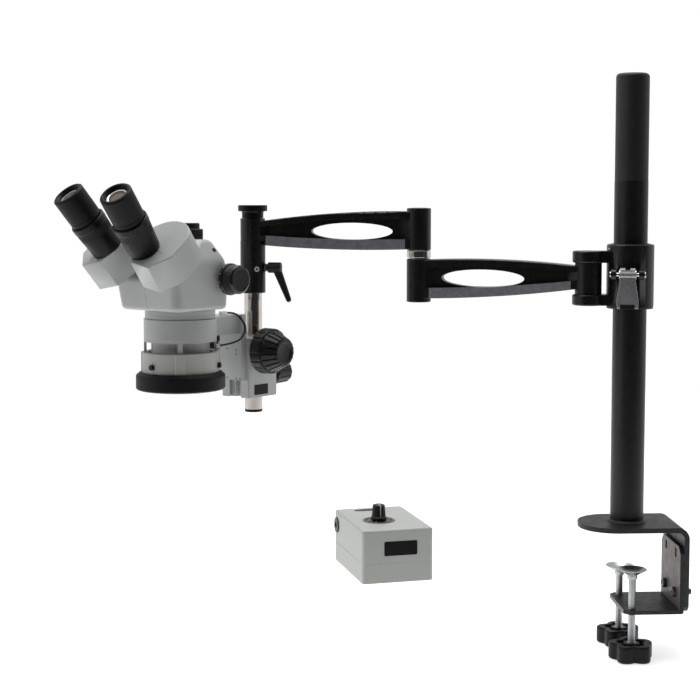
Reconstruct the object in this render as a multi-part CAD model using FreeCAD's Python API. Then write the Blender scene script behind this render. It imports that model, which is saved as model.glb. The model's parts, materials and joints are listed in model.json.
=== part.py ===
import FreeCAD, Part
import math
import os

# Stereo microscope on a clamp-on pole with a two-part swinging arm. Millimetres, +Z up.
# The origin is where the pole's axis meets the table top, which is the underside of the
# clamp's top plate. +X points over the table edge, and the arms reach out along -X.

# ---- driving dimensions ----
POLE_R = 20.0
UPPER_POLE_R = 19.75
POLE_WALL = 3.0
POLE_JOINT_Z = 416.0
POLE_TOP_Z = 543.0
ARM_LENGTH = 210.0
LOWER_ARM_YAW = 162.0
UPPER_ARM_YAW = 171.0
CLEVIS_X = -50.0
SCOPE_YAW = 231.0
OPTICAL_OFFSET = 128.5
RUN_CLEARANCE = 0.05
GAP = 0.3

# clamp
PLATE_T = 6.0
PLATE_HALF_W = 43.0
PLATE_TIP_X = -59.0
UPRIGHT_IN_X = 60.0
BEND_IN_R = 8.0
UPRIGHT_LOW_Z = -95.5
JAW_T = 5.0
JAW_TOP_Z = -93.0
JAW_TIP_X = -11.0
JAW_UPRIGHT_TOP_Z = -18.0
CLAMP_YAW = 3.0
SCREW_HALF_PITCH = 33.0
SCREW_R = 4.5
PAD_R = 17.0
PAD_RIM_Z = {"near": -44.5, "far": -56.0}
KNOB_TOP_Z = -134.0
KNOB_H = 20.0
KNOB_R = 27.0

# collar
COLLAR_R = 28.0
BUSH_R = 23.9
COLLAR_LOW_Z = 264.5
COLLAR_TOP_Z = 341.0
EAR_R = 19.0
EAR_LOW = (268.0, 281.0)
EAR_TOP = (319.0, 333.0)
CAM_YAW = -15.0
CAM_Z = 306.0
CAM_Y = -33.3
CAM_R = 7.8

# arms
BOSS_R = 15.0
KNUCKLE_R = 16.0
ELBOW_PIN_R = 7.0
LOWER_BOSS_Z = (267.5, 321.0)
RING_Z = (321.0, 331.0)
UPPER_BOSS_Z = (331.3, 383.5)
POST_BOSS_Z = (342.6, 370.3)
ARM_HALF_T = 11.5
WEB_HALF_T = 6.0

# post and its holder
POST_R = 11.25
POST_LOW_Z = 126.0
POST_TOP_Z = 317.0
HOLDER_R = 15.75
HOLDER_Z = (276.7, 342.3)
LEVER_Z = 308.6
LEVER_YAW = -12.0

# focus block and slide, in the scope's own frame
BLOCK_X = (-18.7, 34.0)
BLOCK_HALF_W = 23.0
BLOCK_Z = (147.5, 222.5)
SHAFT_X = 18.5
SHAFT_Z = 207.0
PINION_PITCH_R = 5.0
PINION_TEETH = 16
SLIDE_X = (34.3, 42.0)
SLIDE_Z = (170.0, 252.0)
REAR_KNOB_Z = 173.0
REAR_KNOB_Y = 5.0

# head holder, head and ring light, about the optical axis
HOLDER_RING_R = 43.5
BARREL_R = 38.0
RING_HOLDER_Z = (228.0, 253.0)
FLANGE_R = 42.0
BODY_LOW_Z = 264.0
BODY_TOP_Z = 347.0
BODY_HALF_W = 51.0
BODY_BACK = -34.0
SHELL_T = 3.0
ZOOM_X = -26.0
ZOOM_Z = 300.0
ZOOM_BOSS_R = 15.0
ZOOM_BOSS_H = 4.0
TILT = 39.2
DIVERGE = 6.2
TUBE_FOOT = (85.3, 30.9, 337.2)
PIVOT_U = 11.7
PIVOT_V = 20.0
HOUSING_R = 33.0
HOUSING_L = 38.0
TUBE_L = 44.0
EYEPIECE_TOP = 83.4
LIGHT_R = 53.4

# holder's lock screw, adapter and cord
LOCK_AZ = -85.0
LOCK_Z = 243.0
LEG_AZ = 45.0
SCREW_AZ = 0.0
CAP_AT = (-17.0, 0.0)
CORD_R = 1.15
CORD_POINTS = [(95.5, 32.8, 219.0), (86.5, 35.2, 219.8), (73.3, 34.2, 220.9), (59.4, 32.2, 223.1),
               (48.8, 29.4, 228.9), (43.2, 26.6, 236.2), (42.8, 23.2, 243.8), (46.2, 18.8, 250.8),
               (51.8, 13.4, 255.6), (59.5, 8.8, 255.1)]
CONNECTOR_LOW_Z = 252.6

# controller
CONTROLLER_AT = (-300.0, -215.0)
CONTROLLER_YAW = 15.0
CASE_W = 76.0
CASE_L = 115.0
CASE_H = 56.0
CASE_SEAM_Z = 21.5
CASE_WALL = 2.5
DIAL_AT = (-7.0, -9.0)
JACK_Y = 47.0
JACK_Z = 41.0

V = FreeCAD.Vector
UP = V(0, 0, 1)
ZERO = V(0, 0, 0)


# ---- small helpers ----
def cyl(r, z0, z1, x=0.0, y=0.0):
    return Part.makeCylinder(r, z1 - z0, V(x, y, z0))


def rod(r, start, end):
    step = V(*end) - V(*start)
    return Part.makeCylinder(r, step.Length, V(*start), step)


def ring(r_in, r_out, z0, z1, x=0.0, y=0.0):
    return cyl(r_out, z0, z1, x, y).cut(cyl(r_in, z0 - 1, z1 + 1, x, y))


def box(x, y, z):
    return Part.makeBox(x[1] - x[0], y[1] - y[0], z[1] - z[0], V(x[0], y[0], z[0]))


def revolved(profile):
    """Solid of revolution about Z from (radius, z) points."""
    wire = Part.makePolygon([V(r, 0, z) for r, z in profile + profile[:1]])
    return Part.Face(wire).revolve(ZERO, UP, 360)


def prism(points, direction):
    wire = Part.makePolygon([V(*p) for p in points + points[:1]])
    return Part.Face(wire).extrude(V(*direction))


def turned(shape, angle, axis=UP, centre=ZERO):
    out = shape.copy()
    out.rotate(centre, axis, angle)
    return out


def moved(shape, x, y, z=0.0):
    out = shape.copy()
    out.translate(V(x, y, z))
    return out


def edges_where(shape, test):
    return [e for e in shape.Edges if test(e.BoundBox)]


def vertical(b, least=1.0):
    return b.ZLength > least and b.XLength < 0.01 and b.YLength < 0.01


def group(solids):
    return Part.makeCompound(solids)


def polar(r, degrees, x=0.0, y=0.0):
    a = math.radians(degrees)
    return x + r * math.cos(a), y + r * math.sin(a)


def to_clamp(shape):
    return turned(shape, CLAMP_YAW)


ELBOW = polar(ARM_LENGTH, LOWER_ARM_YAW, CLEVIS_X)
POST = polar(ARM_LENGTH, UPPER_ARM_YAW, *ELBOW)


def to_scope(shape):
    """From the scope's own frame (post axis at 0, front along +X) to the part's frame."""
    return moved(turned(shape, SCOPE_YAW), *POST)


def to_optics(shape):
    """The same for a shape built about the optical axis."""
    return to_scope(moved(shape, OPTICAL_OFFSET, 0))


def save(name, shape):
    if not shape.isValid():
        print("INVALID", name)
    shape.exportStep("parts/" + name + ".step")
    print(name, len(shape.Solids), round(shape.Volume))


# ---- table clamp and pole ----
def clamp_bracket():
    out_x = UPRIGHT_IN_X + PLATE_T
    bend_out = BEND_IN_R + PLATE_T
    profile = [V(PLATE_TIP_X, 0, 0), V(PLATE_TIP_X, 0, PLATE_T), V(out_x, 0, PLATE_T),
               V(out_x, 0, UPRIGHT_LOW_Z), V(UPRIGHT_IN_X, 0, UPRIGHT_LOW_Z), V(UPRIGHT_IN_X, 0, 0)]
    plate = Part.Face(Part.makePolygon(profile + profile[:1])).extrude(V(0, 2 * PLATE_HALF_W, 0))
    plate = moved(plate, 0, -PLATE_HALF_W)
    outer = edges_where(plate, lambda b: b.YLength > 50 and b.XMin > out_x - 0.1 and b.ZMin > PLATE_T - 0.1)
    plate = plate.makeFillet(bend_out, outer)
    inner = edges_where(plate, lambda b: b.YLength > 50 and abs(b.XMin - UPRIGHT_IN_X) < 0.1
                        and abs(b.ZMin) < 0.1 and b.XLength < 0.1)
    plate = plate.makeFillet(BEND_IN_R, inner)
    tip = edges_where(plate, lambda b: vertical(b) and b.XMax < PLATE_TIP_X + 0.1)
    plate = plate.makeFillet(PLATE_HALF_W - 1.0, tip)
    low = edges_where(plate, lambda b: b.XLength > PLATE_T - 0.1 and b.YLength < 0.01
                      and b.ZMax < UPRIGHT_LOW_Z + 0.1)
    plate = plate.makeChamfer(6.0, low)
    for z in (-28.0, -52.0, -76.0):
        for y in (-22.0, 22.0):
            plate = plate.cut(rod(3.5, (UPRIGHT_IN_X - 1, y, z), (out_x + 1, y, z)))
    spigot = ring(11.0, POLE_R - POLE_WALL - 0.1, PLATE_T, PLATE_T + 14.0)
    return to_clamp(plate.fuse(spigot).removeSplitter())


def clamp_jaw():
    low = JAW_TOP_Z - JAW_T
    inner_x = UPRIGHT_IN_X - JAW_T
    bar = box((JAW_TIP_X, UPRIGHT_IN_X), (-PLATE_HALF_W, PLATE_HALF_W), (low, JAW_TOP_Z))
    upright = box((inner_x, UPRIGHT_IN_X), (-PLATE_HALF_W, PLATE_HALF_W), (low, JAW_UPRIGHT_TOP_Z))
    jaw = bar.fuse(upright).removeSplitter()
    jaw = jaw.makeFillet(3.0, edges_where(jaw, lambda b: b.YLength > 50 and b.XMax > UPRIGHT_IN_X - 0.1
                                          and b.ZMax < low + 0.1))
    corners = edges_where(jaw, lambda b: vertical(b) and b.XMax < JAW_TIP_X + 0.1)
    jaw = jaw.makeChamfer(7.0, corners)
    tops = edges_where(jaw, lambda b: b.XLength > JAW_T - 0.1 and b.XLength < JAW_T + 0.1
                       and b.ZMin > JAW_UPRIGHT_TOP_Z - 0.1)
    jaw = jaw.makeChamfer(8.0, tops)
    for y in (-22.0, 22.0):
        jaw = jaw.cut(rod(3.5, (inner_x - 1, y, -76.0), (UPRIGHT_IN_X + 1, y, -76.0)))
        for z in (-30.5, -25.5):
            jaw = jaw.cut(rod(3.5, (inner_x - 1, y, z), (UPRIGHT_IN_X + 1, y, z)))
    for y in (-SCREW_HALF_PITCH, SCREW_HALF_PITCH):
        jaw = jaw.cut(cyl(SCREW_R + RUN_CLEARANCE, low - 1, JAW_TOP_Z + 1, 0, y))
    return to_clamp(jaw)


def jaw_bolts():
    """Two bolts: head inside the jaw, shank through both uprights, nut outside."""
    solids = []
    inner_x = UPRIGHT_IN_X - JAW_T
    out_x = UPRIGHT_IN_X + PLATE_T
    for y in (-22.0, 22.0):
        head = rod(6.0, (inner_x - 4.5, y, -76.0), (inner_x, y, -76.0))
        head = head.cut(rod(2.4, (inner_x - 5.0, y, -76.0), (inner_x - 2.0, y, -76.0)))
        shank = rod(3.5, (inner_x, y, -76.0), (out_x + 8.0, y, -76.0))
        hexagon = [(out_x, *polar(6.4, 60 * i, y, -76.0)) for i in range(6)]
        nut = prism(hexagon, (5.0, 0, 0))
        solids.append(head.fuse(shank).fuse(nut))
    return to_clamp(group(solids))


def pole_lower():
    return ring(POLE_R - POLE_WALL, POLE_R, PLATE_T, POLE_JOINT_Z)


def pole_upper():
    tube = cyl(UPPER_POLE_R, POLE_JOINT_Z, POLE_TOP_Z)
    tube = tube.makeFillet(5.0, edges_where(tube, lambda b: b.ZMin > POLE_TOP_Z - 0.1))
    tube = tube.cut(cyl(POLE_R - POLE_WALL, POLE_JOINT_Z - 1, POLE_TOP_Z - 5))
    spigot = ring(12.0, POLE_R - POLE_WALL, POLE_JOINT_Z - 30, POLE_JOINT_Z + 30)
    return tube.fuse(spigot).removeSplitter()


def clamp_pad(side):
    """Dished swivel pad: rim up, with a socket for the end of the screw."""
    y = SCREW_HALF_PITCH * (1 if side == "far" else -1)
    rim = PAD_RIM_Z[side]
    dish = revolved([(0, rim - 6.5), (6, rim - 6.5), (11, rim - 5.2), (PAD_R, rim - 0.8), (PAD_R, rim),
                     (PAD_R - 1.5, rim), (10.4, rim - 3.9), (5.6, rim - 5.2), (0, rim - 5.2)])
    hub = cyl(7.5, rim - 12.0, rim - 5.9)
    socket = cyl(SCREW_R + RUN_CLEARANCE, rim - 13.0, rim - 6.5)
    return to_clamp(moved(dish.fuse(hub).cut(socket).removeSplitter(), 0, y))


def clamp_screw(side):
    y = SCREW_HALF_PITCH * (1 if side == "far" else -1)
    top = PAD_RIM_Z[side] - 6.8
    shank = cyl(SCREW_R, KNOB_TOP_Z - KNOB_H + 4.0, top)
    shank = shank.makeChamfer(0.6, edges_where(shank, lambda b: b.ZMin > top - 0.1))
    return to_clamp(moved(shank, 0, y))


def star_knob(side):
    """Five-lobed hand knob with a dished top and a hub round the screw."""
    y = SCREW_HALF_PITCH * (1 if side == "far" else -1)
    low = KNOB_TOP_Z - KNOB_H
    knob = cyl(KNOB_R - 7.0, low, KNOB_TOP_Z)
    for i in range(5):
        x_lobe, y_lobe = polar(KNOB_R - 8.5, 72 * i + 18)
        knob = knob.fuse(cyl(8.5, low, KNOB_TOP_Z, x_lobe, y_lobe))
    knob = knob.removeSplitter()
    rims = edges_where(knob, lambda b: b.ZLength < 0.01)
    knob = knob.makeFillet(1.6, rims)
    knob = knob.cut(ring(9.0, KNOB_R - 9.5, KNOB_TOP_Z - 4.0, KNOB_TOP_Z + 1))
    knob = knob.cut(cyl(SCREW_R, low + 4.0, KNOB_TOP_Z + 1))
    return to_clamp(moved(knob, 0, y))


# ---- collar on the pole ----
def collar_bush():
    bush = ring(POLE_R + RUN_CLEARANCE, BUSH_R, COLLAR_LOW_Z, COLLAR_TOP_Z - 0.5)
    flange = ring(POLE_R + RUN_CLEARANCE, COLLAR_R - 0.5, COLLAR_LOW_Z, COLLAR_LOW_Z + 2.5)
    return bush.fuse(flange).removeSplitter()


def cam_frame(shape):
    return turned(shape, CAM_YAW)


def pole_collar():
    low = COLLAR_LOW_Z + 2.8
    body = cyl(COLLAR_R, low, COLLAR_TOP_Z)
    body = body.makeFillet(2.0, edges_where(body, lambda b: b.ZMin > COLLAR_TOP_Z - 0.1))
    for z0, z1 in (EAR_LOW, EAR_TOP):
        neck_half = 12.0
        ear = cyl(EAR_R, z0, z1, CLEVIS_X).fuse(box((CLEVIS_X, 0), (-neck_half, neck_half), (z0, z1)))
        ear = ear.removeSplitter()
        ear = ear.makeFillet(2.0, edges_where(ear, lambda b: b.ZLength < 0.01 and b.XMax < -1))
        body = body.fuse(ear)
    for side in (-1, 1):
        lug_in, lug_out = side * 13.3, side * 19.3
        lug = rod(6.0, (lug_in, CAM_Y, CAM_Z), (lug_out, CAM_Y, CAM_Z))
        web = box((min(lug_in, lug_out), max(lug_in, lug_out)), (CAM_Y, -15), (CAM_Z - 6, CAM_Z + 6))
        body = body.fuse(cam_frame(lug.fuse(web)))
    cam_pocket = rod(CAM_R + GAP, (-12.5, CAM_Y, CAM_Z), (12.5, CAM_Y, CAM_Z))
    bore = cyl(BUSH_R + RUN_CLEARANCE, low - 1, COLLAR_TOP_Z + 1)
    body = body.cut(cam_frame(cam_pocket)).cut(bore).cut(cyl(5.0, EAR_LOW[0] - 1, EAR_TOP[1] + 1, CLEVIS_X))
    pin_way = rod(2.5, (-30, CAM_Y, CAM_Z), (30, CAM_Y, CAM_Z))
    return body.cut(cam_frame(pin_way)).removeSplitter()


def collar_pins():
    clevis = cyl(5.0, EAR_LOW[0] + 0.5, EAR_TOP[1] - 0.5, CLEVIS_X)
    hinge = rod(2.5, (-20.6, CAM_Y, CAM_Z), (20.6, CAM_Y, CAM_Z))
    heads = [rod(3.6, (s * 19.3, CAM_Y, CAM_Z), (s * 20.9, CAM_Y, CAM_Z)) for s in (-1, 1)]
    return group([clevis, cam_frame(hinge.fuse(heads[0]).fuse(heads[1]))])


def cam_lever():
    """Quick-release lever: a notched cam hub on the pin and a paddle that widens downwards."""
    hub = rod(5.6, (-10.0, CAM_Y, CAM_Z), (10.0, CAM_Y, CAM_Z))
    crown = box((-8.7, 8.7), (CAM_Y - 4.6, CAM_Y + 2.0), (CAM_Z, CAM_Z + CAM_R))
    crown = crown.common(rod(CAM_R, (-10.0, CAM_Y, CAM_Z), (10.0, CAM_Y, CAM_Z)))
    notch = box((-3.0, 3.0), (CAM_Y - 6.0, CAM_Y + 3.0), (CAM_Z + 5.0, CAM_Z + 10))
    outline = [(-9.0, CAM_Z), (9.0, CAM_Z), (9.6, CAM_Z - 9), (11.2, CAM_Z - 20), (12.8, CAM_Z - 30),
               (12.4, CAM_Z - 40), (-11.6, CAM_Z - 40), (-13.0, CAM_Z - 32), (-11.2, CAM_Z - 20),
               (-9.6, CAM_Z - 9)]
    blade = prism([(x, CAM_Y - 4.6, z) for x, z in outline], (0, 4.2, 0))
    edges = edges_where(blade, lambda b: abs(b.YMax - (CAM_Y - 4.6)) < 0.01 and b.YLength < 0.01)
    blade = blade.makeFillet(1.2, edges)
    lever = hub.fuse(crown).fuse(blade).cut(notch)
    lever = lever.cut(rod(2.5 + RUN_CLEARANCE, (-30, CAM_Y, CAM_Z), (30, CAM_Y, CAM_Z)))
    return cam_frame(lever.removeSplitter())


# ---- swinging arms ----
def bowed_edge(s0, z0, s1, z1, bow):
    """Arc between two points of an arm's outline, bowed by bow at the middle."""
    mid = V((s0 + s1) / 2, 0, (z0 + z1) / 2 + bow)
    return Part.Arc(V(s0, 0, z0), mid, V(s1, 0, z1)).toShape()


def line(s0, z0, s1, z1):
    return Part.makeLine(V(s0, 0, z0), V(s1, 0, z1))


def arm_plate(narrow, wide, s0, s1, bows, half_t):
    """Side plate of an arm from the narrow end at s0 to the wide end at s1."""
    wire = Part.Wire([bowed_edge(s0, narrow[1], s1, wide[1], bows[1]), line(s1, wide[1], s1, wide[0]),
                      bowed_edge(s1, wide[0], s0, narrow[0], bows[0]), line(s0, narrow[0], s0, narrow[1])])
    return moved(Part.Face(wire).extrude(V(0, 2 * half_t, 0)), 0, -half_t)


def arm_beam(narrow, wide, flange, ellipse):
    """I-section beam: bowed flanges, a thin web and an elliptical window."""
    s0, s1 = 8.0, ARM_LENGTH - 8.0
    beam = arm_plate(narrow, wide, s0, s1, (-3.0, 4.0), ARM_HALF_T)
    middle = (wide[0] + wide[1]) / 2
    beam = beam.makeFillet(2.0, edges_where(beam, lambda b: b.XLength > 100 and b.ZMin > middle))
    beam = beam.makeFillet(1.0, edges_where(beam, lambda b: b.XLength > 100 and b.ZMax < middle))
    depth = ARM_HALF_T - WEB_HALF_T
    pocket = arm_plate((flange[0], narrow[1] - 7.0), (flange[1], wide[1] - 10.0),
                       s0 - 1, s1 + 1, (-2.6, 3.6), depth / 2)
    for side in (-1, 1):
        beam = beam.cut(moved(pocket, 0, side * (WEB_HALF_T + depth / 2)))
    centre, half_s, half_z = V(ellipse[0], -20, ellipse[1]), ellipse[2], ellipse[3]
    curve = Part.Ellipse(centre + V(half_s, 0, 0), centre + V(0, 0, half_z), centre)
    window = Part.Face(Part.Wire(curve.toShape())).extrude(V(0, 40, 0))
    return beam.cut(window)


def boss(r, z, x=0.0, round_top=1.2):
    body = cyl(r, z[0], z[1], x)
    return body.makeFillet(round_top, edges_where(body, lambda b: b.ZLength < 0.01))


def arm_root(x, direction, r, half_t, z):
    """Tapered web that thickens the beam where it meets a boss."""
    reach = direction * (r + 9.0)
    points = [(x, -r + 1.5, z[0]), (x, r - 1.5, z[0]), (x + reach, half_t, z[0]), (x + reach, -half_t, z[0])]
    return prism(points, (0, 0, z[1] - z[0]))


def lower_arm():
    beam = arm_beam((288.0, 314.5), (272.5, 320.0), (298.4, 285.6), (128.0, 298.2, 51.5, 10.7))
    knuckle = cyl(KNUCKLE_R, EAR_LOW[1] + GAP, EAR_TOP[0] - GAP)
    end = boss(BOSS_R, LOWER_BOSS_Z, ARM_LENGTH)
    arm = beam.fuse(knuckle).fuse(end)
    arm = arm.fuse(arm_root(0, 1, KNUCKLE_R, WEB_HALF_T, (290.0, 313.0)))
    arm = arm.fuse(arm_root(ARM_LENGTH, -1, BOSS_R, WEB_HALF_T, (275.0, 318.0)))
    arm = arm.cut(cyl(5.0 + RUN_CLEARANCE, 200, 400))
    arm = arm.cut(cyl(ELBOW_PIN_R, LOWER_BOSS_Z[0] + 4, 400, ARM_LENGTH))
    return moved(turned(arm.removeSplitter(), LOWER_ARM_YAW), CLEVIS_X, 0)


def elbow_pin():
    return cyl(ELBOW_PIN_R, LOWER_BOSS_Z[0] + 4.2, UPPER_BOSS_Z[1] - 5.0, *ELBOW)


def elbow_ring():
    neck = ring(ELBOW_PIN_R, BOSS_R - 1.4, RING_Z[0], RING_Z[0] + 1.6, *ELBOW)
    band = cyl(BOSS_R, RING_Z[0] + 1.6, RING_Z[1], *ELBOW)
    band = band.makeChamfer(0.5, edges_where(band, lambda b: b.ZLength < 0.01))
    return neck.fuse(band.cut(cyl(ELBOW_PIN_R, RING_Z[0], RING_Z[1] + 1, *ELBOW))).removeSplitter()


def upper_arm():
    beam = arm_beam((337.5, 366.5), (332.8, 379.5), (349.9, 345.5), (127.0, 354.6, 51.0, 10.5))
    near_boss = cyl(BOSS_R + 0.5, POST_BOSS_Z[0], POST_BOSS_Z[1])
    end = boss(BOSS_R, UPPER_BOSS_Z, ARM_LENGTH, 1.6)
    relief = box((0, HOLDER_R + 1.5), (-20, 20), (320, POST_BOSS_Z[0]))
    arm = beam.cut(relief).fuse(near_boss).fuse(end)
    arm = arm.fuse(arm_root(0, 1, BOSS_R, WEB_HALF_T, (344.0, 365.0)))
    arm = arm.fuse(arm_root(ARM_LENGTH, -1, BOSS_R, WEB_HALF_T, (335.0, 377.0)))
    arm = arm.cut(cyl(ELBOW_PIN_R + RUN_CLEARANCE, 300, 400))
    arm = arm.cut(cyl(ELBOW_PIN_R + RUN_CLEARANCE, 300, UPPER_BOSS_Z[1] - 4.8, ARM_LENGTH))
    return moved(turned(arm.removeSplitter(), UPPER_ARM_YAW - 180), *POST)


# ---- post holder and post ----
def swivel_knob():
    """Dished clamping knob on the spigot that turns in the arm's end boss."""
    low = POST_BOSS_Z[1] + GAP
    knob = revolved([(0, low), (13.5, low), (13.5, 377.6), (14.6, 379.4), (18.0, 379.4), (18.3, 380.0),
                     (18.3, 386.4), (17.6, 386.9), (12.0, 385.9), (0, 385.4)])
    knob = knob.cut(cyl(5.0 + RUN_CLEARANCE, low - 1, 382.0))
    return moved(knob, *POST)


def lever_frame(shape):
    """The lever's stud runs out of the holder along +X, LEVER_Z above the table."""
    return moved(turned(shape, LEVER_YAW), POST[0], POST[1], LEVER_Z)


def post_holder():
    body = cyl(HOLDER_R, *HOLDER_Z)
    body = body.makeFillet(1.0, edges_where(body, lambda b: b.ZMax < HOLDER_Z[0] + 0.1))
    body = body.cut(cyl(POST_R + RUN_CLEARANCE, HOLDER_Z[0] - 1, 332.0))
    spigot = cyl(ELBOW_PIN_R, HOLDER_Z[1], POST_BOSS_Z[1] + 0.1).fuse(cyl(5.0, POST_BOSS_Z[1], 381.5))
    body = moved(body.fuse(spigot).removeSplitter(), *POST)
    stud_way = rod(2.5 + RUN_CLEARANCE, (HOLDER_R - 6.0, 0, 0), (HOLDER_R + 1.0, 0, 0))
    return body.cut(lever_frame(stud_way))


def holder_lever():
    """Ratchet clamping lever: stud, washer, hub and a tapered arm that hangs outwards."""
    stud = rod(2.5, (POST_R + 0.4, 0, 0), (HOLDER_R + 6.0, 0, 0))
    washer = rod(5.0, (HOLDER_R + 0.4, 0, 0), (HOLDER_R + 1.9, 0, 0))
    neck = rod(4.2, (HOLDER_R + 1.9, 0, 0), (HOLDER_R + 5.0, 0, 0))
    hub = rod(6.8, (HOLDER_R + 4.0, 0, 0), (HOLDER_R + 21.0, 0, 0))
    hub = hub.makeFillet(1.4, edges_where(hub, lambda b: b.XLength < 0.01))
    root, tip = V(HOLDER_R + 15.0, 0, -1.0), V(HOLDER_R + 30.5, 0, -40.0)
    blade = Part.makeCone(5.6, 3.4, (tip - root).Length, root, tip - root)
    flat = box((0, 80), (-3.4, 3.4), (-60, 20))
    foot = Part.makeSphere(3.4, tip).common(flat)
    arm = blade.common(flat).fuse(foot)
    return lever_frame(stud.fuse(washer).fuse(neck).fuse(hub).fuse(arm).removeSplitter())


def scope_post():
    post = cyl(POST_R, POST_LOW_Z + 3.5, POST_TOP_Z, *POST)
    return post.makeChamfer(0.8, edges_where(post, lambda b: b.ZMin > POST_TOP_Z - 0.1))


def post_end_ring():
    cap = cyl(POST_R, POST_LOW_Z, POST_LOW_Z + 3.5, *POST)
    return cap.makeChamfer(0.7, edges_where(cap, lambda b: b.ZMax < POST_LOW_Z + 0.1))


# ---- focus block ----
def dovetail(neck, wide, x_neck, x_wide, z):
    points = [(x_wide, -wide, z[0]), (x_neck, -neck, z[0]), (x_neck, neck, z[0]), (x_wide, wide, z[0])]
    return prism(points, (0, 0, z[1] - z[0]))


def focus_block():
    block = box(BLOCK_X, (-BLOCK_HALF_W, BLOCK_HALF_W), BLOCK_Z)
    block = block.makeFillet(2.0, edges_where(block, lambda b: vertical(b)))
    block = block.makeFillet(1.2, edges_where(block, lambda b: b.ZMin > BLOCK_Z[1] - 0.1))
    for side in (-1, 1):
        inner, outer = side * (BLOCK_HALF_W - 1.0), side * (BLOCK_HALF_W + 11.5)
        block = block.fuse(rod(12.0, (SHAFT_X, inner, SHAFT_Z), (SHAFT_X, outer, SHAFT_Z)))
    block = block.cut(cyl(POST_R + RUN_CLEARANCE, 100, 300))
    block = block.cut(dovetail(9.2, 12.9, BLOCK_X[1] + 1, 27.7, (100, 300)))
    block = block.cut(box((22.4, 28.0), (-4.0, 4.0), (100, 300)))
    block = block.cut(rod(6.2, (SHAFT_X, -4.0, SHAFT_Z), (SHAFT_X, 4.0, SHAFT_Z)))
    block = block.cut(rod(3.0 + RUN_CLEARANCE, (SHAFT_X, -60, SHAFT_Z), (SHAFT_X, 60, SHAFT_Z)))
    stud_way = rod(3.0 + RUN_CLEARANCE, (-30, REAR_KNOB_Y, REAR_KNOB_Z), (-5, REAR_KNOB_Y, REAR_KNOB_Z))
    return to_scope(block.cut(stud_way).removeSplitter())


def fluted(r_out, r_in, depth, flutes, z0, z1):
    """Cone about Z with half-round flutes along it."""
    body = Part.makeCone(r_out, r_in, z1 - z0, V(0, 0, z0)) if r_out != r_in else cyl(r_out, z0, z1)
    body = body.makeFillet(1.2, edges_where(body, lambda b: b.ZMin > z1 - 0.1))
    for i in range(flutes):
        x0, y0 = polar(r_out + 1.6, 360 * i / flutes)
        x1, y1 = polar(r_in + 1.6, 360 * i / flutes)
        body = body.cut(rod(1.6 + depth, (x0, y0, z0), (x1, y1, z1 + 0.01)))
    return body


def block_clamp_knob():
    knob = fluted(15.0, 14.0, 1.1, 10, 8.0, 36.0).fuse(cyl(6.5, 0.4, 8.1)).fuse(cyl(3.0, -7.5, 1.0))
    knob = turned(knob.removeSplitter(), -90, V(0, 1, 0))
    return to_scope(moved(knob, BLOCK_X[0], REAR_KNOB_Y, REAR_KNOB_Z))


def tooth_blank(count, root, top, root_half, top_half):
    """Trapezoid teeth round a wheel of the given root radius, in the XZ plane."""
    teeth = []
    for i in range(count):
        profile = [(root - 0.2, -root_half), (top, -top_half), (top, top_half), (root - 0.2, root_half)]
        tooth = prism([(r, -3.5, t) for r, t in profile], (0, 7.0, 0))
        teeth.append(turned(tooth, 360 * (i + 0.5) / count, V(0, 1, 0)))
    return teeth


def pinion_shaft():
    shaft = rod(3.0, (0, -62.0, 0), (0, 62.0, 0))
    wheel = rod(PINION_PITCH_R - 0.7, (0, -3.5, 0), (0, 3.5, 0))
    for tooth in tooth_blank(PINION_TEETH, PINION_PITCH_R - 0.7, PINION_PITCH_R + 0.45, 0.55, 0.22):
        wheel = wheel.fuse(tooth)
    return to_scope(moved(shaft.fuse(wheel).removeSplitter(), SHAFT_X, 0, SHAFT_Z))


def focus_rack():
    """Rack whose gaps face the pinion's teeth at rest."""
    pitch = 2 * math.pi * PINION_PITCH_R / PINION_TEETH
    line_x = SHAFT_X + PINION_PITCH_R
    z0, z1 = SLIDE_Z[0] + 2.0, SLIDE_Z[1] - 2.0
    body = box((line_x + 0.65, 28.0), (-3.4, 3.4), (z0, z1))
    count = int((z1 - z0 - 4) / pitch / 2)
    for i in range(-count, count + 1):
        z = SHAFT_Z + pitch * i
        if z0 + 1 < z < z1 - 1:
            profile = [(line_x + 0.8, z - 0.5), (line_x - 0.45, z - 0.2), (line_x - 0.45, z + 0.2),
                       (line_x + 0.8, z + 0.5)]
            body = body.fuse(prism([(x, -3.4, h) for x, h in profile], (0, 6.8, 0)))
    return to_scope(body.removeSplitter())


def focus_knobs():
    """Two-stage knobs: a drum next to the block and a fluted cone outside it."""
    pair = []
    for side in (-1, 1):
        base = cyl(28.5, 0, 13.0)
        base = base.makeFillet(1.5, edges_where(base, lambda b: b.ZLength < 0.01))
        knob = base.fuse(fluted(25.8, 17.0, 1.2, 18, 12.8, 35.5))
        knob = knob.cut(cyl(12.5, -1, 1.5)).cut(cyl(3.0, -1, 27.5))
        knob = turned(knob.removeSplitter(), -90 * side, V(1, 0, 0))
        pair.append(moved(knob, SHAFT_X, side * (BLOCK_HALF_W + 12.0), SHAFT_Z))
    return to_scope(group(pair))


def focus_slide():
    """Dovetail slide that carries the head holder."""
    plate = box(SLIDE_X, (-19.0, 19.0), (SLIDE_Z[0], 226.0))
    plate = plate.fuse(box(SLIDE_X, (-15.0, 19.0), (226.0, SLIDE_Z[1]))).removeSplitter()
    plate = plate.makeFillet(1.5, edges_where(plate, lambda b: vertical(b) and b.XMin > SLIDE_X[1] - 0.1))
    tail = dovetail(9.0, 12.5, SLIDE_X[0] + 0.2, 28.0, SLIDE_Z)
    return to_scope(plate.fuse(tail).removeSplitter())


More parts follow.
